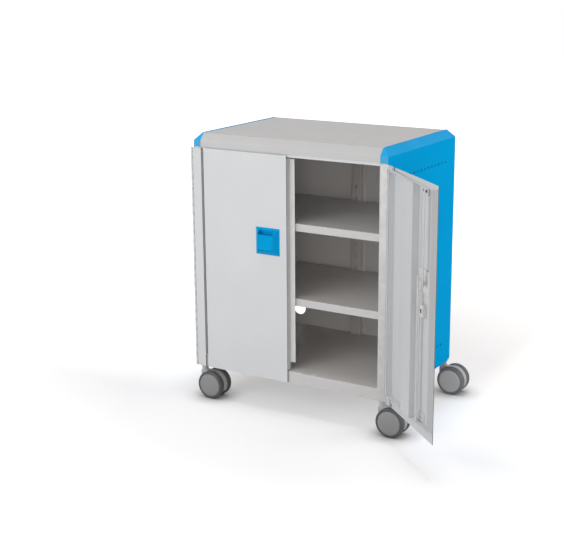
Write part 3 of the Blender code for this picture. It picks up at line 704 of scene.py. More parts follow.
@dataclass
class Carcass:
    """The painted sheet-steel body: worktop, sides, frame, floor, back and shelves."""

    nodes: dict[str, bpy.types.Object]
    edges: SheetEdges = SheetEdges()
    tube_edges: SheetEdges = SheetEdges(fold=0.0022)
    small_edges: SheetEdges = SheetEdges(fold=0.0006, rim=0.0002, narrow=0.0016, segments=2)
    sheet: float = 0.0015
    inner_skin: float = 0.0012
    facing: float = 0.5
    square_on: float = 0.95
    edge_on: float = 0.1
    band_top: float = -0.0235
    band_foot: float = -0.0455
    lip_width: float = 0.0068
    lip_rise: float = 0.0013
    lip_gap: float = 0.0005
    lip_setback: float = 0.0222
    lip_sink: float = 0.0005
    lip_corner: float = 0.0009
    lip_edge: float = 0.0005
    vent_levels: tuple[float, float] = (-0.102, -0.757)
    vent_count: int = 14
    vent_pitch: float = 0.0265
    collar_radius: float = 0.0036
    collar_wall: float = 0.0008
    collar_depth: float = 0.0034

    def build(self) -> None:
        """Dress every solid of the carcass."""
        # The worktop takes the darker grey, painted as shade.
        self._press("top_panel", WORKTOP_SHADED_COAT, Slot.GREY_PAINT, self.edges)
        for side in Side:
            self._side(side)
            for end in ("front", "rear"):
                self._press(f"{end}_post_{side.label}", LIGHT_GREY_COAT, Slot.GREY_PAINT, self.tube_edges)
        self._press("head_rail", LIGHT_GREY_COAT, Slot.GREY_PAINT, self.edges)
        # The back standard takes the paler grey, painted as light.
        self._press("back_standard", LIT_STANDARD_COAT, Slot.GREY_PAINT, self.edges)
        self._two_tone("back_panel", LIGHT_GREY_COAT, Face.REAR)
        # The front edges of the shelves and base pan take a darker grey, painted as shade.
        for name in ("base_pan", "shelf_upper", "shelf_lower"):
            self._two_tone(name, SHADED_FRONT_EDGE_COAT, Face.FRONT)
        for shelf in ("upper", "lower"):
            for end in ("front", "rear"):
                for side in Side:
                    clip = f"shelf_clip_{shelf}_{end}_{side.label}"
                    self._press(clip, ZINC_PLATE, Slot.ZINC_STEEL, self.small_edges)

    def _press(self, node: str, finish: Finish, slot: Slot, edges: SheetEdges) -> None:
        """Replace one node by its softened copy.

        Args:
            node: The CAD node's name.
            finish: Its finish.
            slot: Its material slot.
            edges: Its radii.
        """
        item = Pressing(edges).copy(self.nodes[node], f"{node}_pressed", [finish])
        Workshop.hand_over(item, "carcass", slot, [node])

    def _two_tone(self, node: str, outer: Finish, face: Face) -> None:
        """Dress a sheet in the inner grey, tinted warm as painted light, with its outward face in another
        finish.

        Args:
            node: The CAD node's name.
            outer: The finish of the face that looks out of the cabinet.
            face: Which way that face looks.
        """
        item = Pressing(self.edges).copy(self.nodes[node], f"{node}_pressed", [INNER_WARM_LIT_COAT, outer])
        way = face.value
        skin = max(corner.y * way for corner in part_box(node)) - self.sheet
        for polygon in item.data.polygons:
            if polygon.normal.y * way > self.facing and polygon.center.y * way > skin:
                polygon.material_index = 1
        Workshop.hand_over(item, "carcass", Slot.GREY_PAINT, [node])

    def _side(self, side: Side) -> None:
        """Dress a side panel, blue outside and grey inside, with a painted reflection on the cap's front and
        painted shade in its vents.

        Args:
            side: Which side.
        """
        node = f"side_panel_{side.label}"
        item = Pressing(self.edges).copy(
            self.nodes[node], f"{node}_pressed", [BLUE_COAT, LIGHT_GREY_COAT, RECESS_SHADE_PAINT, BLUE_CAP_REFLECTION_COAT])
        self._part_cap(item)
        low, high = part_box(node)
        outer = max(abs(low.x), abs(high.x))
        for polygon in item.data.polygons:
            polygon.material_index = self._coat(item.data, polygon, side, (outer, low.z))
        Workshop.hand_over(item, "carcass", Slot.BLUE_PAINT, [node])
        self._lip(side)
        self._collars(side, outer - self.sheet)

    def _coat(
            self, mesh: bpy.types.Mesh, polygon: bpy.types.MeshPolygon, side: Side, limits: Range
    ) -> PanelCoat:
        """Choose the finish of one face of a side panel.

        Args:
            mesh: The panel's mesh.
            polygon: The face.
            side: Which side.
            limits: The distance of the panel's outer face from the middle, and the height of its foot.

        Returns:
            The finish.
        """
        outer, foot = limits
        way, place = polygon.normal, polygon.center
        # The walls of the vent holes are painted near-black as shade.
        if Workshop.longest(mesh, polygon) < self.edges.hole_facet and abs(way.x) < self.edge_on:
            return PanelCoat.VENT
        # The cap's front takes the paler blue as a painted reflection.
        if way.y < -self.square_on and self.band_foot < place.z < self.band_top:
            return PanelCoat.CAP
        inward = way.x * side.value < -self.facing or way.z < -self.facing
        if inward and abs(place.x) < outer - self.inner_skin and place.z > foot + self.inner_skin:
            return PanelCoat.INSIDE
        return PanelCoat.OUTSIDE

    def _collars(self, side: Side, inner: float) -> None:
        """Set a short collar behind each vent, painted near-black as shade seen through the holes.

        Args:
            side: Which side.
            inner: The distance of the sheet's inner face from the middle.
        """
        across = side.value * (inner - self.collar_depth / 2)
        first = -self.vent_pitch * (self.vent_count - 1) / 2
        seats = [(across, first + self.vent_pitch * index, level)
                 for level in self.vent_levels for index in range(self.vent_count)]
        item = Workshop.seeds(f"vent_collars_{side.label}", seats)
        VentCollars().run(item, {
            "Radius": self.collar_radius, "Wall": self.collar_wall, "Depth": self.collar_depth,
            "Finish": RECESS_SHADE_PAINT.material()})
        Workshop.smooth(item)
        Workshop.hand_over(item, "carcass", Slot.BLUE_PAINT)

    def _part_cap(self, item: bpy.types.Object) -> None:
        """Part the front of a side's cap from the sheet's edge below it, so that it can take the paler blue
        of the painted reflection.

        Args:
            item: The side panel's piece.
        """
        bm = bmesh.new()
        bm.from_mesh(item.data)
        faces = [face for face in bm.faces
                 if face.normal.y < -self.square_on and face.calc_center_median().y < 0.0]
        edges = list({edge for face in faces for edge in face.edges})
        points = list({vertex for face in faces for vertex in face.verts})
        bmesh.ops.bisect_plane(
            bm, geom=points + edges + faces, plane_co=(0.0, 0.0, self.band_foot), plane_no=(0.0, 0.0, 1.0))
        bm.to_mesh(item.data)
        bm.free()

    def _lip(self, side: Side) -> None:
        """Lay the side's hemmed lip along the worktop's end.

        Args:
            side: Which side.
        """
        low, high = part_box("top_panel")
        outer = max(abs(low.x), abs(high.x)) + self.lip_gap
        half = (high.y - low.y) / 2 - self.lip_setback
        middle = Vector((side.value * (outer + self.lip_width / 2), (low.y + high.y) / 2, high.z))
        lying = Matrix(((1, 0, 0), (0, 0, 1), (0, 1, 0))).to_4x4()
        bm = bmesh.new()
        RoundedBlock(
            self.lip_width, -half, half, -self.lip_sink, self.lip_rise, self.lip_corner, self.lip_edge
        ).add(bm, Matrix.Translation(middle) @ lying)
        item = Workshop.piece(f"side_lip_{side.label}", bm, [BLUE_COAT])
        Workshop.smooth(item, angle=45.0)
        Workshop.hand_over(item, "carcass", Slot.BLUE_PAINT)


@dataclass(frozen=True)
class DoorFrame:
    """A door's own frame: distance from the hinge, depth behind the hinge line, and height."""

    side: Side
    hinge_x: float = 0.3805
    hinge_y: float = -0.2572
    span_left: float = 0.3825
    span_right: float = 0.3755
    open_right: float = math.radians(139)
    face: float = -0.0018
    sheet: float = 0.0015
    top: float = -0.0485
    foot: float = -0.8365

    @property
    def body(self) -> str:
        """The door's body."""
        return f"{self.side.label}_door"

    @property
    def span(self) -> float:
        """The distance from the hinge line to the free edge."""
        return self.span_left if self.side is Side.LEFT else self.span_right

    @property
    def inward(self) -> int:
        """The way that the door runs from its hinge along its own X."""
        return -self.side.value

    def hinge(self) -> Matrix:
        """The place of the hinge line."""
        return Matrix.Translation((self.side.value * self.hinge_x, self.hinge_y, 0.0))

    def matrix(self) -> Matrix:
        """The door's frame at rest."""
        angle = self.open_right if self.side is Side.RIGHT else 0.0
        return self.hinge() @ Matrix.Rotation(angle, 4, "Z")

    def point(self, span: float, depth: float, height: float) -> Vector:
        """A place on the door at rest.

        Args:
            span: The distance from the hinge line.
            depth: The depth behind the hinge line.
            height: The height in the model's frame.

        Returns:
            The point in the model's frame.
        """
        return self.matrix() @ Vector((self.inward * span, depth, height))

    def inside(self) -> Vector:
        """The way that the door's back faces at rest."""
        return self.matrix().to_3x3() @ Vector((0.0, 1.0, 0.0))


class RowTree:
    """A Geometry Nodes tree that repeats a small shape. Each kind says which shape, and where."""

    NAME = "row"
    INPUTS: tuple[tuple[str, Socket], ...] = ()

    def run(self, item: bpy.types.Object, values: dict[str, Any]) -> None:
        """Set the tree's inputs by their identifiers, run it on a piece and keep the plain mesh.

        Args:
            item: The piece.
            values: The inputs' values, by their names.
        """
        tree = self.tree()
        modifier = item.modifiers.new(tree.name, "NODES")
        modifier.node_group = tree
        for entry in tree.interface.items_tree:
            if entry.item_type == "SOCKET" and entry.in_out == "INPUT" and entry.name in values:
                modifier[entry.identifier] = values[entry.name]
        Workshop.settle(item)

    def tree(self) -> bpy.types.NodeTree:
        """Make the tree, or return it where it is already made.

        Returns:
            The node tree, with named inputs for its sizes.
        """
        found = bpy.data.node_groups.get(self.NAME)
        if found is not None:
            return found
        tree = bpy.data.node_groups.new(self.NAME, "GeometryNodeTree")
        tree.interface.new_socket("Geometry", in_out="OUTPUT", socket_type=Socket.GEOMETRY.value)
        for label, kind in self.INPUTS:
            tree.interface.new_socket(label, in_out="INPUT", socket_type=kind.value)
        board = NodeBoard(tree)
        inputs = board.add("NodeGroupInput").outputs
        real = board.add("GeometryNodeRealizeInstances")
        board.link(self._row(board, inputs), real.inputs["Geometry"])
        paint = board.add("GeometryNodeSetMaterial")
        board.link(real.outputs["Geometry"], paint.inputs["Geometry"])
        board.link(inputs["Finish"], paint.inputs["Material"])
        result = board.add("NodeGroupOutput")
        board.link(paint.outputs["Geometry"], result.inputs["Geometry"])
        return tree

    def _row(self, board: NodeBoard, inputs: bpy.types.NodeOutputs) -> bpy.types.NodeSocket:
        """Repeat the kind's own shape."""
        raise NotImplementedError

    @staticmethod
    def _shift(
            board: NodeBoard, shape: bpy.types.NodeSocket, chosen: bpy.types.NodeSocket, share: Point
    ) -> bpy.types.NodeSocket:
        """Move the chosen points of a shape by a share of their own place.

        Args:
            board: The tree's nodes.
            shape: The shape.
            chosen: Which points move.
            share: The share of X, Y and Z that is added.

        Returns:
            The changed shape.
        """
        pull = board.add("ShaderNodeVectorMath", operation="MULTIPLY")
        pull.inputs[1].default_value = share
        board.link(board.add("GeometryNodeInputPosition").outputs["Position"], pull.inputs[0])
        shaped = board.add("GeometryNodeSetPosition")
        board.link(shape, shaped.inputs["Geometry"])
        board.link(chosen, shaped.inputs["Selection"])
        board.link(pull.outputs["Vector"], shaped.inputs["Offset"])
        return shaped.outputs["Geometry"]


class KnuckleRow(RowTree):
    """Geometry Nodes that set a row of rolled knuckles along a hinge line."""

    NAME = "rolled_knuckles"
    INPUTS = (
        ("Leaf", Socket.GEOMETRY), ("Start", Socket.PLACE), ("Radius", Socket.LENGTH),
        ("Length", Socket.LENGTH), ("Pitch", Socket.LENGTH), ("Count", Socket.COUNT),
        ("Finish", Socket.FINISH))
    BARREL = {"Vertices": 20, "Side Segments": 12, "Fill Segments": 1}
    END_FROM = 0.48
    END_DRAW = 0.16

    def _row(self, board: NodeBoard, inputs: bpy.types.NodeOutputs) -> bpy.types.NodeSocket:
        """Set the knuckles down from the start, beside the leaf.

        Args:
            board: The tree's nodes.
            inputs: The tree's inputs.

        Returns:
            The leaf with its knuckles.
        """
        step = board.add("ShaderNodeCombineXYZ")
        board.link(board.math("MULTIPLY", inputs["Pitch"], -1.0), step.inputs["Z"])
        line = board.add("GeometryNodeMeshLine", mode="OFFSET")
        board.link(inputs["Count"], line.inputs["Count"])
        board.link(inputs["Start"], line.inputs["Start Location"])
        board.link(step.outputs["Vector"], line.inputs["Offset"])
        row = board.add("GeometryNodeInstanceOnPoints")
        board.link(line.outputs["Mesh"], row.inputs["Points"])
        board.link(self._knuckle(board, inputs), row.inputs["Instance"])
        both = board.add("GeometryNodeJoinGeometry")
        board.link(row.outputs["Instances"], both.inputs["Geometry"])
        board.link(inputs["Leaf"], both.inputs["Geometry"])
        return both.outputs["Geometry"]

    def _knuckle(self, board: NodeBoard, inputs: bpy.types.NodeOutputs) -> bpy.types.NodeSocket:
        """Make one knuckle, with its ends drawn in.

        Args:
            board: The tree's nodes.
            inputs: The tree's inputs.

        Returns:
            The knuckle's geometry.
        """
        barrel = board.add("GeometryNodeMeshCylinder", self.BARREL)
        board.link(inputs["Radius"], barrel.inputs["Radius"])
        board.link(inputs["Length"], barrel.inputs["Depth"])
        place = board.parts(board.add("GeometryNodeInputPosition").outputs["Position"])
        at_end = board.math(
            "GREATER_THAN", board.math("ABSOLUTE", place["Z"]),
            board.math("MULTIPLY", inputs["Length"], self.END_FROM))
        return self._shift(board, barrel.outputs["Mesh"], at_end, (-self.END_DRAW, -self.END_DRAW, 0.0))


class ScrewHeads(RowTree):
    """Geometry Nodes that set domed heads on points, each along the point's own axis."""

    NAME = "domed_heads"
    INPUTS = (
        ("Places", Socket.GEOMETRY), ("Radius", Socket.LENGTH), ("Rise", Socket.LENGTH),
        ("Recess", Socket.LENGTH), ("Finish", Socket.FINISH))
    DOME = {"Segments": 20, "Rings": 10, "Radius": 1.0}
    SEAT_PRESS = 0.85
    RECESS_SPAN = 1.1

    def _row(self, board: NodeBoard, inputs: bpy.types.NodeOutputs) -> bpy.types.NodeSocket:
        """Set a head on each point.

        Args:
            board: The tree's nodes.
            inputs: The tree's inputs.

        Returns:
            The heads.
        """
        axis = board.add("GeometryNodeInputNamedAttribute", {"Name": "axis"}, data_type="FLOAT_VECTOR")
        turn = board.add("FunctionNodeAlignRotationToVector", axis="Z")
        board.link(axis.outputs["Attribute"], turn.inputs["Vector"])
        row = board.add("GeometryNodeInstanceOnPoints")
        board.link(inputs["Places"], row.inputs["Points"])
        board.link(self._head(board, inputs), row.inputs["Instance"])
        board.link(turn.outputs["Rotation"], row.inputs["Rotation"])
        return row.outputs["Instances"]

    def _head(self, board: NodeBoard, inputs: bpy.types.NodeOutputs) -> bpy.types.NodeSocket:
        """Make one domed head with a cross recess.

        Args:
            board: The tree's nodes.
            inputs: The tree's inputs.

        Returns:
            The head's geometry, with its seat on the point.
        """
        ball = board.add("GeometryNodeMeshUVSphere", self.DOME)
        scale = board.add("ShaderNodeCombineXYZ")
        for label, axis in (("Radius", "X"), ("Radius", "Y"), ("Rise", "Z")):
            board.link(inputs[label], scale.inputs[axis])
        dome = board.add("GeometryNodeTransform")
        board.link(ball.outputs["Mesh"], dome.inputs["Geometry"])
        board.link(scale.outputs["Vector"], dome.inputs["Scale"])
        place = board.parts(board.add("GeometryNodeInputPosition").outputs["Position"])
        below = board.math("LESS_THAN", place["Z"], 0.0)
        seated = self._shift(board, dome.outputs["Geometry"], below, (0.0, 0.0, -self.SEAT_PRESS))
        carve = board.add("GeometryNodeMeshBoolean", operation="DIFFERENCE")
        board.link(seated, carve.inputs["Mesh 1"])
        board.link(self._recess(board, inputs), carve.inputs["Mesh 2"])
        return carve.outputs["Mesh"]

    def _recess(self, board: NodeBoard, inputs: bpy.types.NodeOutputs) -> bpy.types.NodeSocket:
        """Make the two bars that a head's cross recess is cut with.

        Args:
            board: The tree's nodes.
            inputs: The tree's inputs.

        Returns:
            The bars.
        """
        bars = board.add("GeometryNodeJoinGeometry")
        span = board.math("MULTIPLY", inputs["Radius"], self.RECESS_SPAN)
        lift = board.add("ShaderNodeCombineXYZ")
        board.link(inputs["Rise"], lift.inputs["Z"])
        for long_axis, short_axis in (("X", "Y"), ("Y", "X")):
            size = board.add("ShaderNodeCombineXYZ")
            board.link(span, size.inputs[long_axis])
            board.link(inputs["Recess"], size.inputs[short_axis])
            board.link(inputs["Rise"], size.inputs["Z"])
            bar = board.add("GeometryNodeMeshCube")
            board.link(size.outputs["Vector"], bar.inputs["Size"])
            raised = board.add("GeometryNodeTransform")
            board.link(bar.outputs["Mesh"], raised.inputs["Geometry"])
            board.link(lift.outputs["Vector"], raised.inputs["Translation"])
            board.link(raised.outputs["Geometry"], bars.inputs["Geometry"])
        return bars.outputs["Geometry"]


class VentCollars(RowTree):
    """Geometry Nodes that set a short collar behind each vent."""

    NAME = "vent_collars"
    INPUTS = (
        ("Seats", Socket.GEOMETRY), ("Radius", Socket.LENGTH), ("Wall", Socket.LENGTH),
        ("Depth", Socket.LENGTH), ("Finish", Socket.FINISH))
    FACETS = 16

    def _row(self, board: NodeBoard, inputs: bpy.types.NodeOutputs) -> bpy.types.NodeSocket:
        """Set a collar about the X axis on each seat.

        Args:
            board: The tree's nodes.
            inputs: The tree's inputs.

        Returns:
            The collars.
        """
        loop = board.add("GeometryNodeCurvePrimitiveCircle", {"Resolution": self.FACETS})
        board.link(inputs["Radius"], loop.inputs["Radius"])
        wall = board.add("GeometryNodeCurvePrimitiveQuadrilateral")
        board.link(inputs["Wall"], wall.inputs["Width"])
        board.link(inputs["Depth"], wall.inputs["Height"])
        ring = board.add("GeometryNodeCurveToMesh")
        board.link(loop.outputs["Curve"], ring.inputs["Curve"])
        board.link(wall.outputs["Curve"], ring.inputs["Profile Curve"])
        turned = board.add("GeometryNodeTransform", {"Rotation": (0.0, math.pi / 2, 0.0)})
        board.link(ring.outputs["Mesh"], turned.inputs["Geometry"])
        row = board.add("GeometryNodeInstanceOnPoints")
        board.link(inputs["Seats"], row.inputs["Points"])
        board.link(turned.outputs["Geometry"], row.inputs["Instance"])
        return row.outputs["Instances"]


@dataclass(frozen=True)
class Screws:
    """A set of domed screw or rivet heads on one body."""

    name: str
    body: str
    radius: float = 0.0036
    rise: float = 0.0018
    recess: float = 0.0009
    finish: Finish = ZINC_PLATE
    slot: Slot = Slot.ZINC_STEEL

    def build(self, places: Sequence[tuple[Vector, Vector]]) -> None:
        """Set the heads.

        Args:
            places: Each head's seat and the way that it points.
        """
        item = Workshop.seeds(self.name, [tuple(seat) for seat, _ in places])
        axis = item.data.attributes.new("axis", "FLOAT_VECTOR", "POINT")
        axis.data.foreach_set("vector", [value for _, way in places for value in way])
        ScrewHeads().run(item, {
            "Radius": self.radius, "Rise": self.rise, "Recess": self.recess,
            "Finish": self.finish.material()})
        Workshop.smooth(item, angle=35.0)
        Workshop.hand_over(item, self.body, self.slot)


@dataclass
class PianoHinge:
    """One door's piano hinge, with knuckles of the real length."""

    door: DoorFrame
    barrel: float = 0.0042
    knuckle: float = 0.016
    gap: float = 0.0008
    leaf_sheet: float = 0.0015
    leaf_width: float = 0.026
    reach: float = 0.0042
    clearance: float = 0.0003
    root: float = 0.00231
    finger: float = 0.003
    lap: float = 0.0001
    plate_edge: float = 0.0002

    def build(self) -> None:
        """Make the post's leaf and the door's leaf, each with its own knuckles."""
        label = self.door.side.label
        post_front = self.reach - self.clearance - self.leaf_sheet
        door_front = self.door.face + self.door.sheet + self.clearance
        self._leaf(f"hinge_leaf_post_{label}", "carcass", self.door.hinge(), (post_front, 0), HINGE_PLATE)
        self._leaf(
            f"hinge_leaf_door_{label}", self.door.body, self.door.matrix(), (door_front, 1), LIGHT_GREY_COAT)

    def _leaf(self, node: str, body: str, frame: Matrix, seat: tuple[float, int], finish: Finish) -> None:
        """Make one leaf.

        Args:
            node: The CAD node that it replaces.
            body: The body that it rides on.
            frame: The leaf's frame at rest.
            seat: The depth of the plate's front face, and 0 where its knuckles start at the top or 1 where
                they start one below.
            finish: The leaf's finish.
        """
        front, first = seat
        inward = self.door.inward
        height = self.door.top - self.door.foot
        total = int(height / self.knuckle)
        pitch = height / total
        bm = bmesh.new()
        finger_end = self.barrel + self.finger
        far = self.barrel + self.leaf_sheet / 2 + self.leaf_width
        inset = self.gap / 2
        for index in range(first, total, 2):
            top = self.door.top - index * pitch - inset
            self._plate(bm, inward, (self.root, finger_end), front, (top - pitch + 2 * inset, top))
        span = (self.door.foot + inset, self.door.top - inset)
        self._plate(bm, inward, (finger_end - self.lap, far), front, span)
        bm.transform(frame)
        item = Workshop.piece(f"{node}_rolled", bm, [finish])
        start = frame @ Vector((0.0, 0.0, self.door.top - (first + 0.5) * pitch))
        count = (total + 1 - first) // 2
        KnuckleRow().run(item, {
            "Start": start, "Radius": self.barrel, "Length": pitch - self.gap, "Pitch": 2 * pitch,
            "Count": count, "Finish": finish.material()})
        Workshop.smooth(item, angle=35.0)
        Workshop.hand_over(item, body, Slot.GREY_PAINT, [node])

    def _plate(
            self, bm: bmesh.types.BMesh, inward: int, across: tuple[float, float], front: float,
            span: tuple[float, float]) -> None:
        """Add a flat stretch of leaf.

        Args:
            bm: The leaf's mesh.
            inward: The way that the leaf runs from the hinge line.
            across: Its two edges, as distances from the hinge line.
            front: The depth of its front face.
            span: Its lower and upper ends.
        """
        low_x, high_x = sorted(inward * value for value in across)
        size = Vector((high_x - low_x, self.leaf_sheet, span[1] - span[0]))
        middle = Vector(((low_x + high_x) / 2, front + self.leaf_sheet / 2, (span[0] + span[1]) / 2))
        place = Matrix.Translation(middle) @ Matrix.Diagonal((*size, 1))
        made = bmesh.ops.create_cube(bm, size=1.0, matrix=place)
        edges = {edge for vertex in made["verts"] for edge in vertex.link_edges}
        bmesh.ops.bevel(bm, geom=list(edges), offset=self.plate_edge, segments=1, affect="EDGES")


@dataclass(frozen=True)
class Pocket:
    """A recess in a block's front."""

    width: float
    low: float
    high: float
    depth: float
    corner: float = 0.0012
    across: float = 0.0
    finish_index: int = 1


@dataclass(frozen=True)
class RoundedBlock:
    """A block with rounded corners and edges, and a front that can be dished or recessed."""

    width: float
    low: float
    high: float
    base: float
    crown: float
    corner: float = 0.002
    edge: float = 0.0008
    dish: float = 0.0
    dish_run: float = 0.004
    dish_start: float = 1.6
    least_corner: float = 0.2
    pocket: Pocket | None = None
    arc_steps: int = 6
    edge_steps: int = 4
    dish_steps: int = 8

    def outline(self, inset: float) -> list[tuple[float, float]]:
        """The rounded outline, drawn in from the block's sides.

        Args:
            inset: How far it is drawn in.

        Returns:
            The outline's points across and up.
        """
        half = self.width / 2 - inset
        radius = max(self.corner - inset, self.corner * self.least_corner)
        return self._rounded((-half, half), (self.low + inset, self.high - inset), radius)

    def _rounded(
            self, across: tuple[float, float], up: tuple[float, float], radius: float
    ) -> list[tuple[float, float]]:
        """A rectangle with rounded corners.

        Args:
            across: Its left and right sides.
            up: Its lower and upper sides.
            radius: The radius of its corners.

        Returns:
            The points, from the upper right corner round.
        """
        left, right = across[0] + radius, across[1] - radius
        low, high = up[0] + radius, up[1] - radius
        points = []
        for x, z, begin in ((right, high, 0), (left, high, 90), (left, low, 180), (right, low, 270)):
            for step in range(self.arc_steps + 1):
                turn = math.radians(begin + 90 * step / self.arc_steps)
                points.append((x + radius * math.cos(turn), z + radius * math.sin(turn)))
        return points

    def section(self) -> list[tuple[float, float]]:
        """The block's edge from its base round to the middle of its front.

        Returns:
            How far each ring is drawn in, and its depth.
        """
        way = math.copysign(1.0, self.crown - self.base)
        rings = []
        for turn in Workshop.quarter(self.edge_steps):
            rise = self.edge * (1 - math.cos(turn))
            rings.append((self.edge * (1 - math.sin(turn)), self.base + way * rise))
        for turn in Workshop.quarter(self.edge_steps):
            fall = self.edge * (1 - math.sin(turn))
            rings.append((self.edge * (1 - math.cos(turn)), self.crown - way * fall))
        if self.dish > 0.0:
            for step in range(1, self.dish_steps + 1):
                share = step / self.dish_steps
                fall = self.dish * share * share * (3 - 2 * share)
                rings.append((self.edge * self.dish_start + self.dish_run * share, self.crown - way * fall))
        return rings

    def add(self, bm: bmesh.types.BMesh, place: Matrix) -> None:
        """Add the block to a mesh, in the piece's first finish.

        Args:
            bm: The mesh.
            place: The block's place.
        """
        rings = [(self.outline(inset), depth, 0) for inset, depth in self.section()]
        if self.pocket is not None:
            hole, way = self.pocket, math.copysign(1.0, self.crown - self.base)
            sides = (hole.across - hole.width / 2, hole.across + hole.width / 2)
            rim = self._rounded(sides, (hole.low, hole.high), hole.corner)
            rings.append((rim, self.crown, 0))
            rings.append((rim, self.crown - way * hole.depth, hole.finish_index))
        loops = []
        for points, depth, _ in rings:
            loops.append([bm.verts.new(place @ Vector((x, depth, z))) for x, z in points])
        Workshop.loft(bm, loops, [mark for _, _, mark in rings])


@dataclass
class Paddle:
    """The pull plate in a door's handle: a dished plate with a toe behind it and two trunnion pins."""

    frame: DoorFrame
    from_edge: float
    level: float
    width: float = 0.0568
    foot: float = -0.0284
    head: float = 0.0245
    crown: float = -0.0198
    thickness: float = 0.0036
    corner: float = 0.0026
    edge: float = 0.0009
    dish: float = 0.0009
    dish_run: float = 0.0085
    toe_drop: float = 0.0012
    toe_rise: float = 0.003
    toe_back: float = 0.0040
    toe_front: float = 0.0022
    toe_corner: float = 0.0006
    toe_edge: float = 0.0003
    pin_radius: float = 0.00145
    pin_ease: float = 0.0003625
    pin_reach: float = 0.0315
    pin_sink: float = 0.0031
    pin_rise: float = 0.0024
    pin_steps: int = 20

    def build(self) -> None:
        """Make the plate and its pins."""
        label = self.frame.side.label
        middle = self.frame.inward * (self.frame.span - self.from_edge)
        place = self.frame.matrix() @ Matrix.Translation((middle, 0.0, self.level))
        bm = bmesh.new()
        plate = RoundedBlock(
            self.width, self.foot, self.head, self.crown + self.thickness, self.crown, self.corner, self.edge,
            self.dish, self.dish_run)
        plate.add(bm, place)
        toe = RoundedBlock(
            self.width, self.foot - self.toe_drop, self.foot + self.toe_rise, self.crown + self.toe_back,
            self.crown + self.toe_front, self.toe_corner, self.toe_edge)
        toe.add(bm, place)
        for way in (-1, 1):
            self._pin(bm, place, way)
        item = Workshop.piece(f"paddle_{label}_moulded", bm, [BLUE_MOULDING])
        Workshop.smooth(item, angle=50.0)
        Workshop.hand_over(item, f"{label}_paddle", Slot.BLUE_PLASTIC, [f"paddle_{label}"])

    def _pin(self, bm: bmesh.types.BMesh, place: Matrix, way: int) -> None:
        """Add a trunnion pin with an eased tip.

        Args:
            bm: The mesh.
            place: The plate's place.
            way: The side of the plate that it stands on.
        """
        root, tip = self.width / 2 - self.edge, self.pin_reach
        sink, rise = self.crown + self.pin_sink, self.foot + self.pin_rise
        full, eased = self.pin_radius, self.pin_radius - self.pin_ease
        loops = []
        for reach, radius in ((root, full), (tip - self.pin_ease, full), (tip, eased)):
            loops.append([
                bm.verts.new(place @ Vector((way * reach, sink + radius * cosine, rise + radius * sine)))
                for cosine, sine in Workshop.circle(self.pin_steps)])
        Workshop.loft(bm, loops, [0] * len(loops))


@dataclass
class Door:
    """One door: its folded pan, stiffener, handle and what is fixed to its back."""

    nodes: dict[str, bpy.types.Object]
    frame: DoorFrame
    edges: SheetEdges = SheetEdges(fold=0.0013, inside=0.0004, rim=0.0003, narrow=0.0025)
    handle_edges: SheetEdges = SheetEdges(fold=0.0007, inside=0.0004, rim=0.0003, narrow=0.0015)
    handle_from_edge: float = 0.074
    handle_z: float = -0.3456
    handle_back: float = -0.2
    fixing_square: float = 0.076
    stiffener_from_edge: float = 0.1945
    stiffener_width: float = 0.068
    end_width: float = 0.0634
    end_foot: float = 0.0012
    end_crown: float = 0.0239
    end_sheet: float = 0.0015
    end_inset: float = 0.0002
    end_corner: float = 0.0005
    end_edge: float = 0.0003

    def build(self) -> None:
        """Dress the door."""
        label = self.frame.side.label
        sheets = [(f"door_{label}", LIGHT_GREY_COAT), (f"stiffener_{label}", LIGHT_GREY_COAT)]
        # The astragal takes a paler finish, painted as light.
        if self.frame.side is Side.LEFT:
            sheets.append(("astragal_left", LIT_ASTRAGAL_COAT))
        for node, finish in sheets:
            item = Pressing(self.edges).copy(self.nodes[node], f"{node}_pressed", [finish])
            Workshop.hand_over(item, self.frame.body, Slot.GREY_PAINT, [node])
        self._stiffener_ends(label)
        PianoHinge(self.frame).build()
        Workshop.repaint(self.nodes[f"hinge_pin_{label}"], ZINC_PLATE)
        self._handle(label)
        self._fixings(label)

    def _stiffener_ends(self, label: str) -> None:
        """Close both ends of the stiffener with a plate.

        Args:
            label: The door's side, as the CAD nodes spell it.
        """
        low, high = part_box(f"stiffener_{label}")
        middle = self.frame.span - self.stiffener_from_edge + self.stiffener_width / 2
        place = self.frame.matrix() @ Matrix.Translation((self.frame.inward * middle, 0.0, 0.0))
        bm = bmesh.new()
        for foot in (low.z + self.end_inset, high.z - self.end_inset - self.end_sheet):
            RoundedBlock(
                self.end_width, foot, foot + self.end_sheet, self.end_foot, self.end_crown, self.end_corner,
                self.end_edge).add(bm, place)
        item = Workshop.piece(f"stiffener_{label}_ends", bm, [LIGHT_GREY_COAT])
        Workshop.smooth(item)
        Workshop.hand_over(item, self.frame.body, Slot.GREY_PAINT)

    def _handle(self, label: str) -> None:
        """Dress the bezel, blue in front and grey behind the door, and set the paddle in it.

        Args:
            label: The door's side, as the CAD nodes spell it.
        """
        bezel = Pressing(self.handle_edges).copy(
            self.nodes[f"bezel_{label}"], f"bezel_{label}_moulded", [BLUE_MOULDING, LOCK_HOUSING])
        back = self.frame.inside()
        level = back.dot(self.frame.point(0.0, self.frame.face + self.frame.sheet, 0.0))
        for polygon in bezel.data.polygons:
            if polygon.normal.dot(back) > self.handle_back and back.dot(polygon.center) > level:
                polygon.material_index = 1
        Workshop.hand_over(bezel, self.frame.body, Slot.BLUE_PLASTIC, [f"bezel_{label}"])
        Paddle(self.frame, self.handle_from_edge, self.handle_z).build()

    def _fixings(self, label: str) -> None:
        """Set the four screws that hold the handle from behind.

        Args:
            label: The door's side, as the CAD nodes spell it.
        """
        centre = self.frame.span - self.handle_from_edge
        half = self.fixing_square / 2
        depth = self.frame.face + self.frame.sheet
        places = []
        for across in (-half, half):
            for up in (-half, half):
                seat = self.frame.point(centre + across, depth, self.handle_z + up)
                places.append((seat, self.frame.inside()))
        Screws(f"handle_screws_{label}", self.frame.body).build(places)


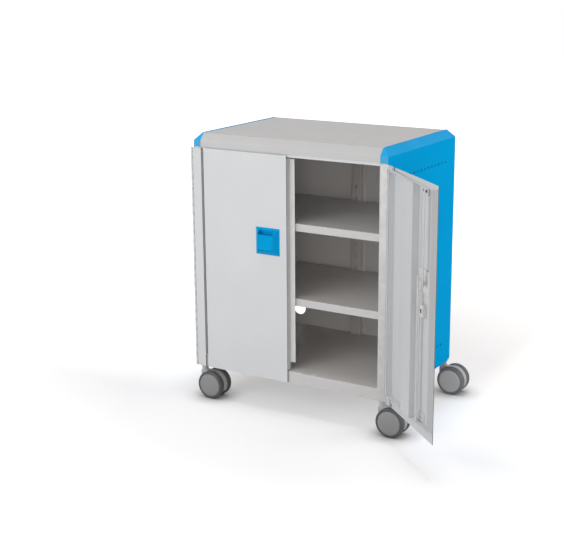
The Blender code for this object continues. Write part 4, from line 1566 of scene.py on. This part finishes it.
@dataclass
class LockGear:
    """The lock on the right door's back: case, guides, cam and rods."""

    nodes: dict[str, bpy.types.Object]
    frame: DoorFrame
    small_edges: SheetEdges = SheetEdges(fold=0.0005, inside=0.0003, rim=0.0003, narrow=0.0016, segments=2)
    case_span: float = 0.300
    case_level: float = -0.437
    case_width: float = 0.021
    case_height: float = 0.038
    case_depth: float = 0.0135
    case_corner: float = 0.0022
    case_edge: float = 0.0009
    case_screw_inset: float = 0.006
    spindle_width: float = 0.008
    spindle_height: float = 0.013
    spindle_depth: float = 0.0081
    guide_span: float = 0.288
    guide_level: float = -0.0770
    foot_guide_level: float = -0.776
    guide_width: float = 0.048
    guide_height: float = 0.026
    guide_rise: float = 0.0026
    guide_corner: float = 0.003
    guide_edge: float = 0.0007
    slot_width: float = 0.032
    slot_height: float = 0.008
    slot_depth: float = 0.00234
    slot_corner: float = 0.0018

    def build(self) -> None:
        """Dress the cam and rods and add the case and guides."""
        for node, finish in (
                ("lock_cam", ZINC_PLATE), ("lock_rod_upper", ROD_PLATE), ("lock_rod_lower", ROD_PLATE)):
            item = Pressing(self.small_edges).copy(self.nodes[node], f"{node}_plated", [finish])
            Workshop.hand_over(item, node, Slot.ZINC_STEEL, [node])
        self._case()
        # The upper guide's slot is painted near-black as shade; the lower one is painted as its plate.
        self._guide("upper", self.guide_level, is_dark=True)
        self._guide("lower", self.foot_guide_level, is_dark=False)

    def _place(self, span: float, level: float) -> Matrix:
        """A place on the door's inner skin.

        Args:
            span: The distance from the hinge line.
            level: The height.

        Returns:
            The place, with its depth axis into the cabinet.
        """
        skin = self.frame.face + self.frame.sheet
        return self.frame.matrix() @ Matrix.Translation((self.frame.inward * span, skin, level))

    def _case(self) -> None:
        """Make the lock case with the square of its spindle, painted near-black as shade, and its two screws.
        """
        place = self._place(self.case_span, self.case_level)
        half = self.case_height / 2
        bm = bmesh.new()
        spindle = self.spindle_height / 2
        hole = Pocket(self.spindle_width, -spindle, spindle, self.spindle_depth)
        RoundedBlock(
            self.case_width, -half, half, 0.0, self.case_depth, self.case_corner, self.case_edge,
            pocket=hole).add(bm, place)
        # The spindle's pocket is painted near-black as shade.
        item = Workshop.piece("lock_case", bm, [LOCK_HOUSING, RECESS_SHADE_PAINT])
        Workshop.smooth(item, angle=45.0)
        Workshop.hand_over(item, self.frame.body, Slot.GREY_PAINT)
        places = []
        for way in (-1, 1):
            seat = place @ Vector((0.0, self.case_depth, way * (half - self.case_screw_inset)))
            places.append((seat, self.frame.inside()))
        Screws("lock_case_screws", self.frame.body, radius=0.0022, rise=0.0011, recess=0.0006).build(places)

    def _guide(self, name: str, level: float, is_dark: bool) -> None:
        """Make a rod guide: a plate with a slot behind which the rod is held.

        Args:
            name: Which of the two guides.
            level: Its height.
            is_dark: Whether the slot is painted near-black as shade, or painted as the plate is.
        """
        place = self._place(self.guide_span, level)
        half = self.guide_height / 2
        bm = bmesh.new()
        slot = self.slot_height / 2
        hole = Pocket(
            self.slot_width, -slot, slot, self.slot_depth, self.slot_corner, finish_index=int(is_dark))
        RoundedBlock(
            self.guide_width, -half, half, 0.0, self.guide_rise, self.guide_corner, self.guide_edge,
            pocket=hole).add(bm, place)
        item = Workshop.piece(f"rod_guide_{name}", bm, [LIGHT_GREY_COAT, RECESS_SHADE_PAINT])
        Workshop.smooth(item, angle=45.0)
        Workshop.hand_over(item, self.frame.body, Slot.GREY_PAINT)


@dataclass
class Castor:
    """One twin-wheel castor with its stem, housing, axle and wheels."""

    nodes: dict[str, bpy.types.Object]
    corner: Corner
    stem_edges: SheetEdges = SheetEdges(fold=0.0006, rim=0.0003, segments=2)
    radius: float = 0.050
    inner: float = 0.0115
    width: float = 0.0262
    wheel_steps: int = 72
    hub_radius: float = 0.041
    dome: float = 0.004
    dome_steps: int = 8
    groove_width: float = 0.0011
    groove_depth: float = 0.0012
    groove_rise: float = 0.0006
    tread_round: float = 0.0055
    shoulder_sink: float = 0.0050
    shoulder_rise: float = 0.0061
    tread_steps: int = 6
    inner_round: float = 0.003
    inner_steps: int = 4
    web_rim: float = 0.004
    web_sink: float = 0.002
    bearing_foot: float = 0.012
    bearing_radius: float = 0.010
    axle_bore: float = 0.0046
    trail: float = 0.040
    housing_radius: float = 0.0482
    housing_half: float = 0.0105
    housing_edge: float = 0.0016
    housing_rim: float = math.radians(60)
    hood_arc: Range = (90.0, -28.0)
    boss_radius: float = 0.013
    boss_arc: Range = (-45.0, -170.0)
    hood_steps: int = 24
    hood_corner: float = 0.004
    chin_level: float = 0.010
    heel_level: float = 0.014
    shoulder_run: float = 0.012
    neck_radius: float = 0.0115
    neck_height: float = 0.017
    neck_lap: float = 0.0015
    neck_root: float = 0.004
    neck_ease: float = 0.0008
    neck_steps: int = 40
    level_limit: float = 0.000001

    def build(self) -> None:
        """Dress the castor."""
        name = self.corner.value
        self._wheels(name)
        self._housing(name)
        stem = Pressing(self.stem_edges).copy(
            self.nodes[f"castor_stem_{name}"], f"castor_stem_{name}_turned", [ZINC_PLATE])
        Workshop.hand_over(stem, "carcass", Slot.ZINC_STEEL, [f"castor_stem_{name}"])
        Workshop.repaint(self.nodes[f"castor_axle_{name}"], ZINC_PLATE)

    def _centre(self, name: str) -> Vector:
        """The middle of the axle.

        Args:
            name: The corner, as the CAD nodes spell it.

        Returns:
            The point in the model's frame.
        """
        low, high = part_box(f"castor_axle_{name}")
        return (low + high) / 2

    def _profile(self) -> list[tuple[float, float, WheelPart]]:
        """Half of a wheel's section, from the hub's middle over the tread to the inner face.

        Returns:
            Radius, distance from the castor's middle, and the part of the wheel.
        """
        outer = self.inner + self.width
        edge = outer - self.dome
        lip = self.hub_radius
        points = []
        for turn in Workshop.quarter(self.dome_steps):
            points.append((lip * math.sin(turn), outer - self.dome * (1 - math.cos(turn)), WheelPart.HUB))
        floor, wall = edge - self.groove_depth, lip + self.groove_width
        points += [(lip, floor, WheelPart.HUB), (wall, floor, WheelPart.TYRE),
                   (wall, edge + self.groove_rise, WheelPart.TYRE)]
        for turn in Workshop.quarter(self.tread_steps):
            rim = self.radius - self.tread_round + self.tread_round * math.sin(turn)
            points.append(
                (rim, edge - self.shoulder_sink + self.shoulder_rise * math.cos(turn), WheelPart.TYRE))
        for turn in Workshop.quarter(self.inner_steps):
            rim = self.radius - self.inner_round + self.inner_round * math.cos(turn)
            points.append((rim, self.inner + self.inner_round * (1 - math.sin(turn)), WheelPart.TYRE))
        sunk = self.inner + self.web_sink
        web = ((lip, self.inner), (lip - self.web_rim, sunk), (self.bearing_foot, sunk),
               (self.bearing_radius, self.inner), (self.axle_bore, self.inner))
        return points + [(radius, reach, WheelPart.HUB) for radius, reach in web]

    def _turned(self) -> bmesh.types.BMesh:
        """Turn a wheel's section about the axle.

        Returns:
            The wheel's mesh, with the castor's middle at the origin.
        """
        profile = self._profile()
        bm = bmesh.new()
        rings = [[bm.verts.new((0.0, profile[0][1], 0.0))]]
        for radius, reach, _ in profile[1:]:
            rings.append([
                bm.verts.new((radius * sine, reach, -radius * cosine))
                for cosine, sine in Workshop.circle(self.wheel_steps)])
        marks = [max(part, after) for (_, _, part), (_, _, after) in zip(profile, profile[1:])]
        for low, high, mark in zip(rings, rings[1:], marks):
            for step in range(self.wheel_steps):
                after = (step + 1) % self.wheel_steps
                corners = [low[0], high[step], high[after]]
                if len(low) > 1:
                    corners = [low[step], high[step], high[after], low[after]]
                bm.faces.new(corners).material_index = mark
        bm.faces.new(rings[-1]).material_index = WheelPart.HUB
        return bm

    def _wheels(self, name: str) -> None:
        """Make both wheels.

        Args:
            name: The corner, as the CAD nodes spell it.
        """
        centre = self._centre(name)
        for face in Face:
            bm = self._turned()
            turn = Matrix.Rotation(math.pi if face is Face.FRONT else 0.0, 4, "Z")
            bm.transform(Matrix.Translation(centre) @ turn)
            bmesh.ops.recalc_face_normals(bm, faces=bm.faces)
            node = f"castor_wheel_{name}_{face.label}"
            wheel = Workshop.piece(f"{node}_moulded", bm, [HUB_MOULDING, TYRE_RUBBER])
            Workshop.smooth(wheel, angle=38.0)
            Workshop.hand_over(wheel, f"wheel_{name}_{face.label}", Slot.WHEEL_PLASTIC, [node])

    def _hood_outline(self, centre: Vector, top: float) -> list[tuple[float, float]]:
        """The hood seen from the side: over the wheels, round the axle's boss and up to the neck.

        Args:
            centre: The middle of the axle.
            top: The height of the hood's shoulder.

        Returns:
            The outline's points along X and Z.
        """
        back = centre.x - self.trail - self.neck_radius
        eased = back + self.hood_corner
        points = []
        for (begin, end), radius in ((self.hood_arc, self.housing_radius), (self.boss_arc, self.boss_radius)):
            for step in range(self.hood_steps + 1):
                turn = math.radians(begin + (end - begin) * step / self.hood_steps)
                points.append((centre.x + radius * math.cos(turn), centre.z + radius * math.sin(turn)))
        points += [(eased, centre.z + self.chin_level), (back, centre.z + self.heel_level),
                   (back, top - self.hood_corner), (eased, top), (centre.x - self.shoulder_run, top)]
        return points

    def _housing(self, name: str) -> None:
        """Make the hood between the wheels and its neck.

        Args:
            name: The corner, as the CAD nodes spell it.
        """
        centre = self._centre(name)
        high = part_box(f"castor_housing_{name}")[1]
        shoulder = high.z - self.neck_height + self.neck_lap
        bm = bmesh.new()
        ring = [bm.verts.new((x, centre.y - self.housing_half, z))
                for x, z in self._hood_outline(centre, shoulder)]
        wall = bm.faces.new(ring)
        swept = bmesh.ops.extrude_face_region(bm, geom=[wall])["geom"]
        moved = [vertex for vertex in swept if isinstance(vertex, bmesh.types.BMVert)]
        bmesh.ops.translate(bm, verts=moved, vec=(0, 2 * self.housing_half, 0))
        bmesh.ops.recalc_face_normals(bm, faces=bm.faces)
        rims = [edge for edge in bm.edges if edge.calc_face_angle(0.0) > self.housing_rim
                and abs(edge.verts[0].co.y - edge.verts[1].co.y) < self.level_limit]
        bmesh.ops.bevel(bm, geom=rims, offset=self.housing_edge, segments=3, affect="EDGES", profile=0.5)
        self._neck(bm, Vector((centre.x - self.trail, centre.y, shoulder - self.neck_root)), high.z)
        item = Workshop.piece(f"castor_housing_{name}_moulded", bm, [CASTOR_MOULDING, NECK_MOULDING])
        Workshop.smooth(item)
        Workshop.hand_over(item, f"castor_{name}", Slot.HOUSING_PLASTIC, [f"castor_housing_{name}"])

    def _neck(self, bm: bmesh.types.BMesh, foot: Vector, top: float) -> None:
        """Add the neck, straight with eased ends.

        Args:
            bm: The housing's mesh.
            foot: The middle of its lower end.
            top: The height of its upper end.
        """
        full, eased = self.neck_radius, self.neck_radius - self.neck_ease
        loops = []
        for height, radius in ((foot.z, full), (top - self.neck_ease, full), (top, eased)):
            loops.append([
                bm.verts.new((foot.x + radius * cosine, foot.y + radius * sine, height))
                for cosine, sine in Workshop.circle(self.neck_steps)])
        Workshop.loft(bm, loops, [HousingPart.NECK] * len(loops))


@dataclass(frozen=True)
class ViewCamera:
    """The photograph's camera, as fitted to the cabinet's own corners."""

    focal_pixels: float = 1219.8
    image_width: int = 564
    azimuth: float = math.radians(32.23)
    elevation: float = math.radians(14.59)
    roll: float = math.radians(-0.49)
    offset: Point = (0.01378, 0.42302, 3.99201)
    front_plane: float = -0.253
    sensor: float = 36.0
    far_limit: float = 100.0

    def build(self) -> None:
        """Place the camera and make it the scene's own."""
        level = math.cos(self.elevation)
        back = Vector((
            math.sin(self.azimuth) * level, -math.cos(self.azimuth) * level, math.sin(self.elevation)))
        right = Vector((math.cos(self.azimuth), math.sin(self.azimuth), 0.0))
        up = back.cross(right)
        cosine, sine = math.cos(self.roll), math.sin(self.roll)
        turn = Matrix((cosine * right + sine * up, cosine * up - sine * right, back))
        shift = Vector((self.offset[0], self.offset[1], -self.offset[2]))
        place = -(turn.transposed() @ shift) + Vector((0.0, self.front_plane, 0.0))
        data = bpy.data.cameras.new("view_camera")
        data.sensor_fit = "HORIZONTAL"
        data.sensor_width = self.sensor
        data.lens = self.focal_pixels / self.image_width * self.sensor
        data.clip_end = self.far_limit
        camera = bpy.data.objects.new("view_camera", data)
        camera.matrix_world = Matrix.Translation(place) @ turn.transposed().to_4x4()
        bpy.context.scene.collection.objects.link(camera)
        bpy.context.scene.camera = camera


@dataclass(frozen=True)
class Lamp:
    """A soft studio lamp that looks at a point."""

    name: str
    place: Point
    target: Point
    size: float
    power: float
    colour: Colour = (1.0, 1.0, 1.0)
    cone: float = 0.0

    def build(self) -> None:
        """Hang the lamp, as a spot where it has a cone and as a soft disk elsewhere."""
        data = bpy.data.lights.new(self.name, "SPOT" if self.cone > 0.0 else "AREA")
        if self.cone > 0.0:
            data.spot_size = self.cone
            data.spot_blend = 1.0
            data.shadow_soft_size = self.size / 2
        else:
            data.shape = "DISK"
            data.size = self.size
        data.energy = self.power
        data.color = self.colour
        lamp = bpy.data.objects.new(self.name, data)
        lamp.location = self.place
        way = Vector(self.target) - Vector(self.place)
        lamp.rotation_euler = way.to_track_quat("-Z", "Y").to_euler()
        bpy.context.scene.collection.objects.link(lamp)


@dataclass(frozen=True)
class LightShare:
    """The pieces that a lamp leaves out, or the only ones that it lights."""

    lamp: str
    rule: LampRule
    marks: tuple[str, ...]

    def apply(self) -> None:
        """Tie the lamp to the pieces whose names carry one of the marks."""
        group = bpy.data.collections.new(f"{self.lamp}_share")
        for item in bpy.data.objects:
            if item.type == "MESH" and any(mark in item.name for mark in self.marks):
                group.objects.link(item)
        for entry in group.collection_objects:
            entry.light_linking.link_state = self.rule.value
        bpy.data.objects[self.lamp].light_linking.receiver_collection = group


@dataclass
class Studio:
    """A pale floor, a white surround and soft light."""

    floor_z: float = -0.951
    reach: float = 14.0
    ambient: Colour = (0.50, 0.475, 0.458)
    floor_colour: Colour = (0.58, 0.58, 0.58)
    seen_colour: Colour = (0.75, 0.75, 0.76)
    floor_lift: float = 0.31
    contact_reach: float = 0.07
    contact_samples: int = 4
    far_lift: float = 0.62
    fade_from: float = 0.72
    fade_to: float = 2.0
    side_from: float = 0.40
    side_to: float = 0.60
    side_lift: float = 0.27
    side_colour: Colour = (1.0, 0.93, 0.82)
    door_line: float = -0.30
    door_run: float = 0.30
    middle: Point = (0.0, 0.0, -0.45)
    door_marks: tuple[str, ...] = (
        "door_right", "stiffener_right", "bezel_right", "paddle_right", "screws", "lock_", "rod_guide",
        "hinge_leaf_post_right", "front_post_right")
    inner_marks: tuple[str, ...] = ("shelf_upper", "shelf_lower", "base_pan", "back_standard")
    castor_marks: tuple[str, ...] = ("castor_wheel_rear_right",)

    def share(self) -> None:
        """Give the open door and the shelves fills of their own, and light to the wheels in the shade."""
        LightShare("fill_lamp", LampRule.LEAVES_OUT, self.door_marks + self.inner_marks).apply()
        LightShare("inner_fill", LampRule.LIGHTS_ONLY, self.inner_marks).apply()
        LightShare("door_fill", LampRule.LIGHTS_ONLY, self.door_marks).apply()
        LightShare("castor_spot", LampRule.LIGHTS_ONLY, self.castor_marks).apply()

    def build(self) -> None:
        """Make the floor, the surround and the lamps."""
        self._surround()
        self._floor()
        lamps = (
            Lamp("front_softbox", (-0.7, -2.2, 0.2), self.middle, size=1.9, power=20.4,
                 colour=(0.96, 0.985, 1.0)),
            Lamp("side_lamp", (3.1, 1.9, 0.2), self.middle, size=1.6, power=36.0),
            Lamp("fill_lamp", (2.1, -3.4, 0.0), self.middle, size=1.4, power=24.0, colour=(1.0, 0.97, 0.95)),
            Lamp("door_fill", (2.1, -3.4, 0.0), self.middle, size=1.4, power=9.2, colour=(1.0, 0.97, 0.95)),
            Lamp("inner_fill", (1.1, -3.0, 0.75), self.middle, size=2.6, power=12.0,
                 colour=(1.0, 0.94, 0.89)),
            Lamp("top_lamp", (0.3, -0.3, 8.0), self.middle, size=1.6, power=125.0),
            Lamp("castor_spot", (1.7, -2.1, -0.70), (0.40, 0.20, -0.90), size=0.1, power=175.0,
                 cone=math.radians(9)),
        )
        for lamp in lamps:
            lamp.build()

    @staticmethod
    def _seen(board: NodeBoard) -> bpy.types.NodeSocket:
        """Whether a ray comes from the camera, a mirror or glass.

        Args:
            board: The nodes to add to.

        Returns:
            1 where the ray does, 0 elsewhere.
        """
        path = board.add("ShaderNodeLightPath").outputs
        direct = board.math("MAXIMUM", path["Is Camera Ray"], path["Is Glossy Ray"])
        return board.math("MAXIMUM", direct, path["Is Transmission Ray"])

    def _surround(self) -> None:
        """White where it is seen, and a soft warm light elsewhere."""
        world = bpy.data.worlds.new("studio")
        bpy.context.scene.world = world
        world.use_nodes = True
        board = NodeBoard(world.node_tree)
        shader = world.node_tree.nodes["Background"]
        shader.inputs["Strength"].default_value = 1.0
        white = (1.0, 1.0, 1.0, 1.0)
        board.link(board.blend(self._seen(board), (*self.ambient, 1.0), white), shader.inputs["Color"])

    def _floor(self) -> None:
        """A matt floor that keeps the cabinet's shadow and runs into the surround."""
        bm = bmesh.new()
        bmesh.ops.create_grid(bm, x_segments=2, y_segments=2, size=self.reach)
        bm.transform(Matrix.Translation((0.0, 0.0, self.floor_z)))
        mesh = bpy.data.meshes.new("floor")
        bm.to_mesh(mesh)
        bm.free()
        mesh.materials.append(self._floor_finish())
        floor = bpy.data.objects.new("floor", mesh)
        bpy.context.scene.collection.objects.link(floor)

    def _floor_finish(self) -> bpy.types.Material:
        """Make the floor's matt finish, lifted where it is seen and shaded where the wheels stand.

        Returns:
            The node material.
        """
        material = bpy.data.materials.new("pale_floor")
        material.use_nodes = True
        nodes = material.node_tree.nodes
        nodes.remove(nodes["Principled BSDF"])
        board = NodeBoard(material.node_tree)
        seen = self._seen(board)
        paint = board.blend(seen, (*self.floor_colour, 1.0), (*self.seen_colour, 1.0))
        # Painted contact shade: ambient occlusion darkens the floor's colour and its lift near the wheels.
        contact_shade = board.add(
            "ShaderNodeAmbientOcclusion", {"Distance": self.contact_reach}, samples=self.contact_samples)
        board.link(paint, contact_shade.inputs["Color"])
        matt = board.add("ShaderNodeBsdfDiffuse")
        board.link(contact_shade.outputs["Color"], matt.inputs["Color"])
        lift = board.math("MULTIPLY", seen, self._distance_lift(board))
        lifts = (
            ((1.0, 1.0, 1.0), board.math("MULTIPLY", lift, contact_shade.outputs["AO"])),
            # The second lift is a painted warm glow beside the cabinet.
            (self.side_colour, board.math("MULTIPLY", seen, self._side_lift(board))))
        surface = matt.outputs["BSDF"]
        for colour, strength in lifts:
            glow = board.add("ShaderNodeEmission", {"Color": (*colour, 1.0)})
            board.link(strength, glow.inputs["Strength"])
            both = board.add("ShaderNodeAddShader")
            board.link(surface, both.inputs[0])
            board.link(glow.outputs["Emission"], both.inputs[1])
            surface = both.outputs["Shader"]
        board.link(surface, nodes["Material Output"].inputs["Surface"])
        return material

    def _distance_lift(self, board: NodeBoard) -> bpy.types.NodeSocket:
        """The floor's lift, which grows with the distance from the cabinet.

        Args:
            board: The floor's nodes.

        Returns:
            The lift.
        """
        place = board.add("ShaderNodeTexCoord").outputs["Object"]
        flat = board.add("ShaderNodeVectorMath", operation="MULTIPLY")
        flat.inputs[1].default_value = (1.0, 1.0, 0.0)
        board.link(place, flat.inputs[0])
        away = board.add("ShaderNodeVectorMath", operation="LENGTH")
        board.link(flat.outputs["Vector"], away.inputs[0])
        return board.spread(
            away.outputs["Value"], (self.fade_from, self.fade_to), (self.floor_lift, self.far_lift))

    def _side_lift(self, board: NodeBoard) -> bpy.types.NodeSocket:
        """The floor's painted warm glow beside the cabinet, which washes out the blue tint that its sides
        throw there and the lamps' long shadows.

        Args:
            board: The floor's nodes.

        Returns:
            The lift.
        """
        place = board.parts(board.add("ShaderNodeTexCoord").outputs["Object"])
        across = board.math("ABSOLUTE", place["X"])
        beside = board.spread(across, (self.side_from, self.side_to), (0.0, self.side_lift))
        behind = board.spread(place["Y"], (self.door_line, self.door_line + self.door_run), (0.0, 1.0))
        return board.math("MULTIPLY", beside, behind)


def main() -> None:
    """Dress the cabinet and set the stage."""
    logging.basicConfig(level=logging.INFO, format="%(name)s: %(message)s")
    for item in list(bpy.data.objects):
        bpy.data.objects.remove(item, do_unlink=True)
    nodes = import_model()["nodes"]
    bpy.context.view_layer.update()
    bpy.context.scene.view_settings.view_transform = "Standard"
    ViewCamera().build()
    studio = Studio()
    studio.build()
    Carcass(nodes).build()
    for side in Side:
        Door(nodes, DoorFrame(side)).build()
    LockGear(nodes, DoorFrame(Side.RIGHT)).build()
    for corner in Corner:
        Castor(nodes, corner).build()
    studio.share()


if __name__ == "__main__":
    main()
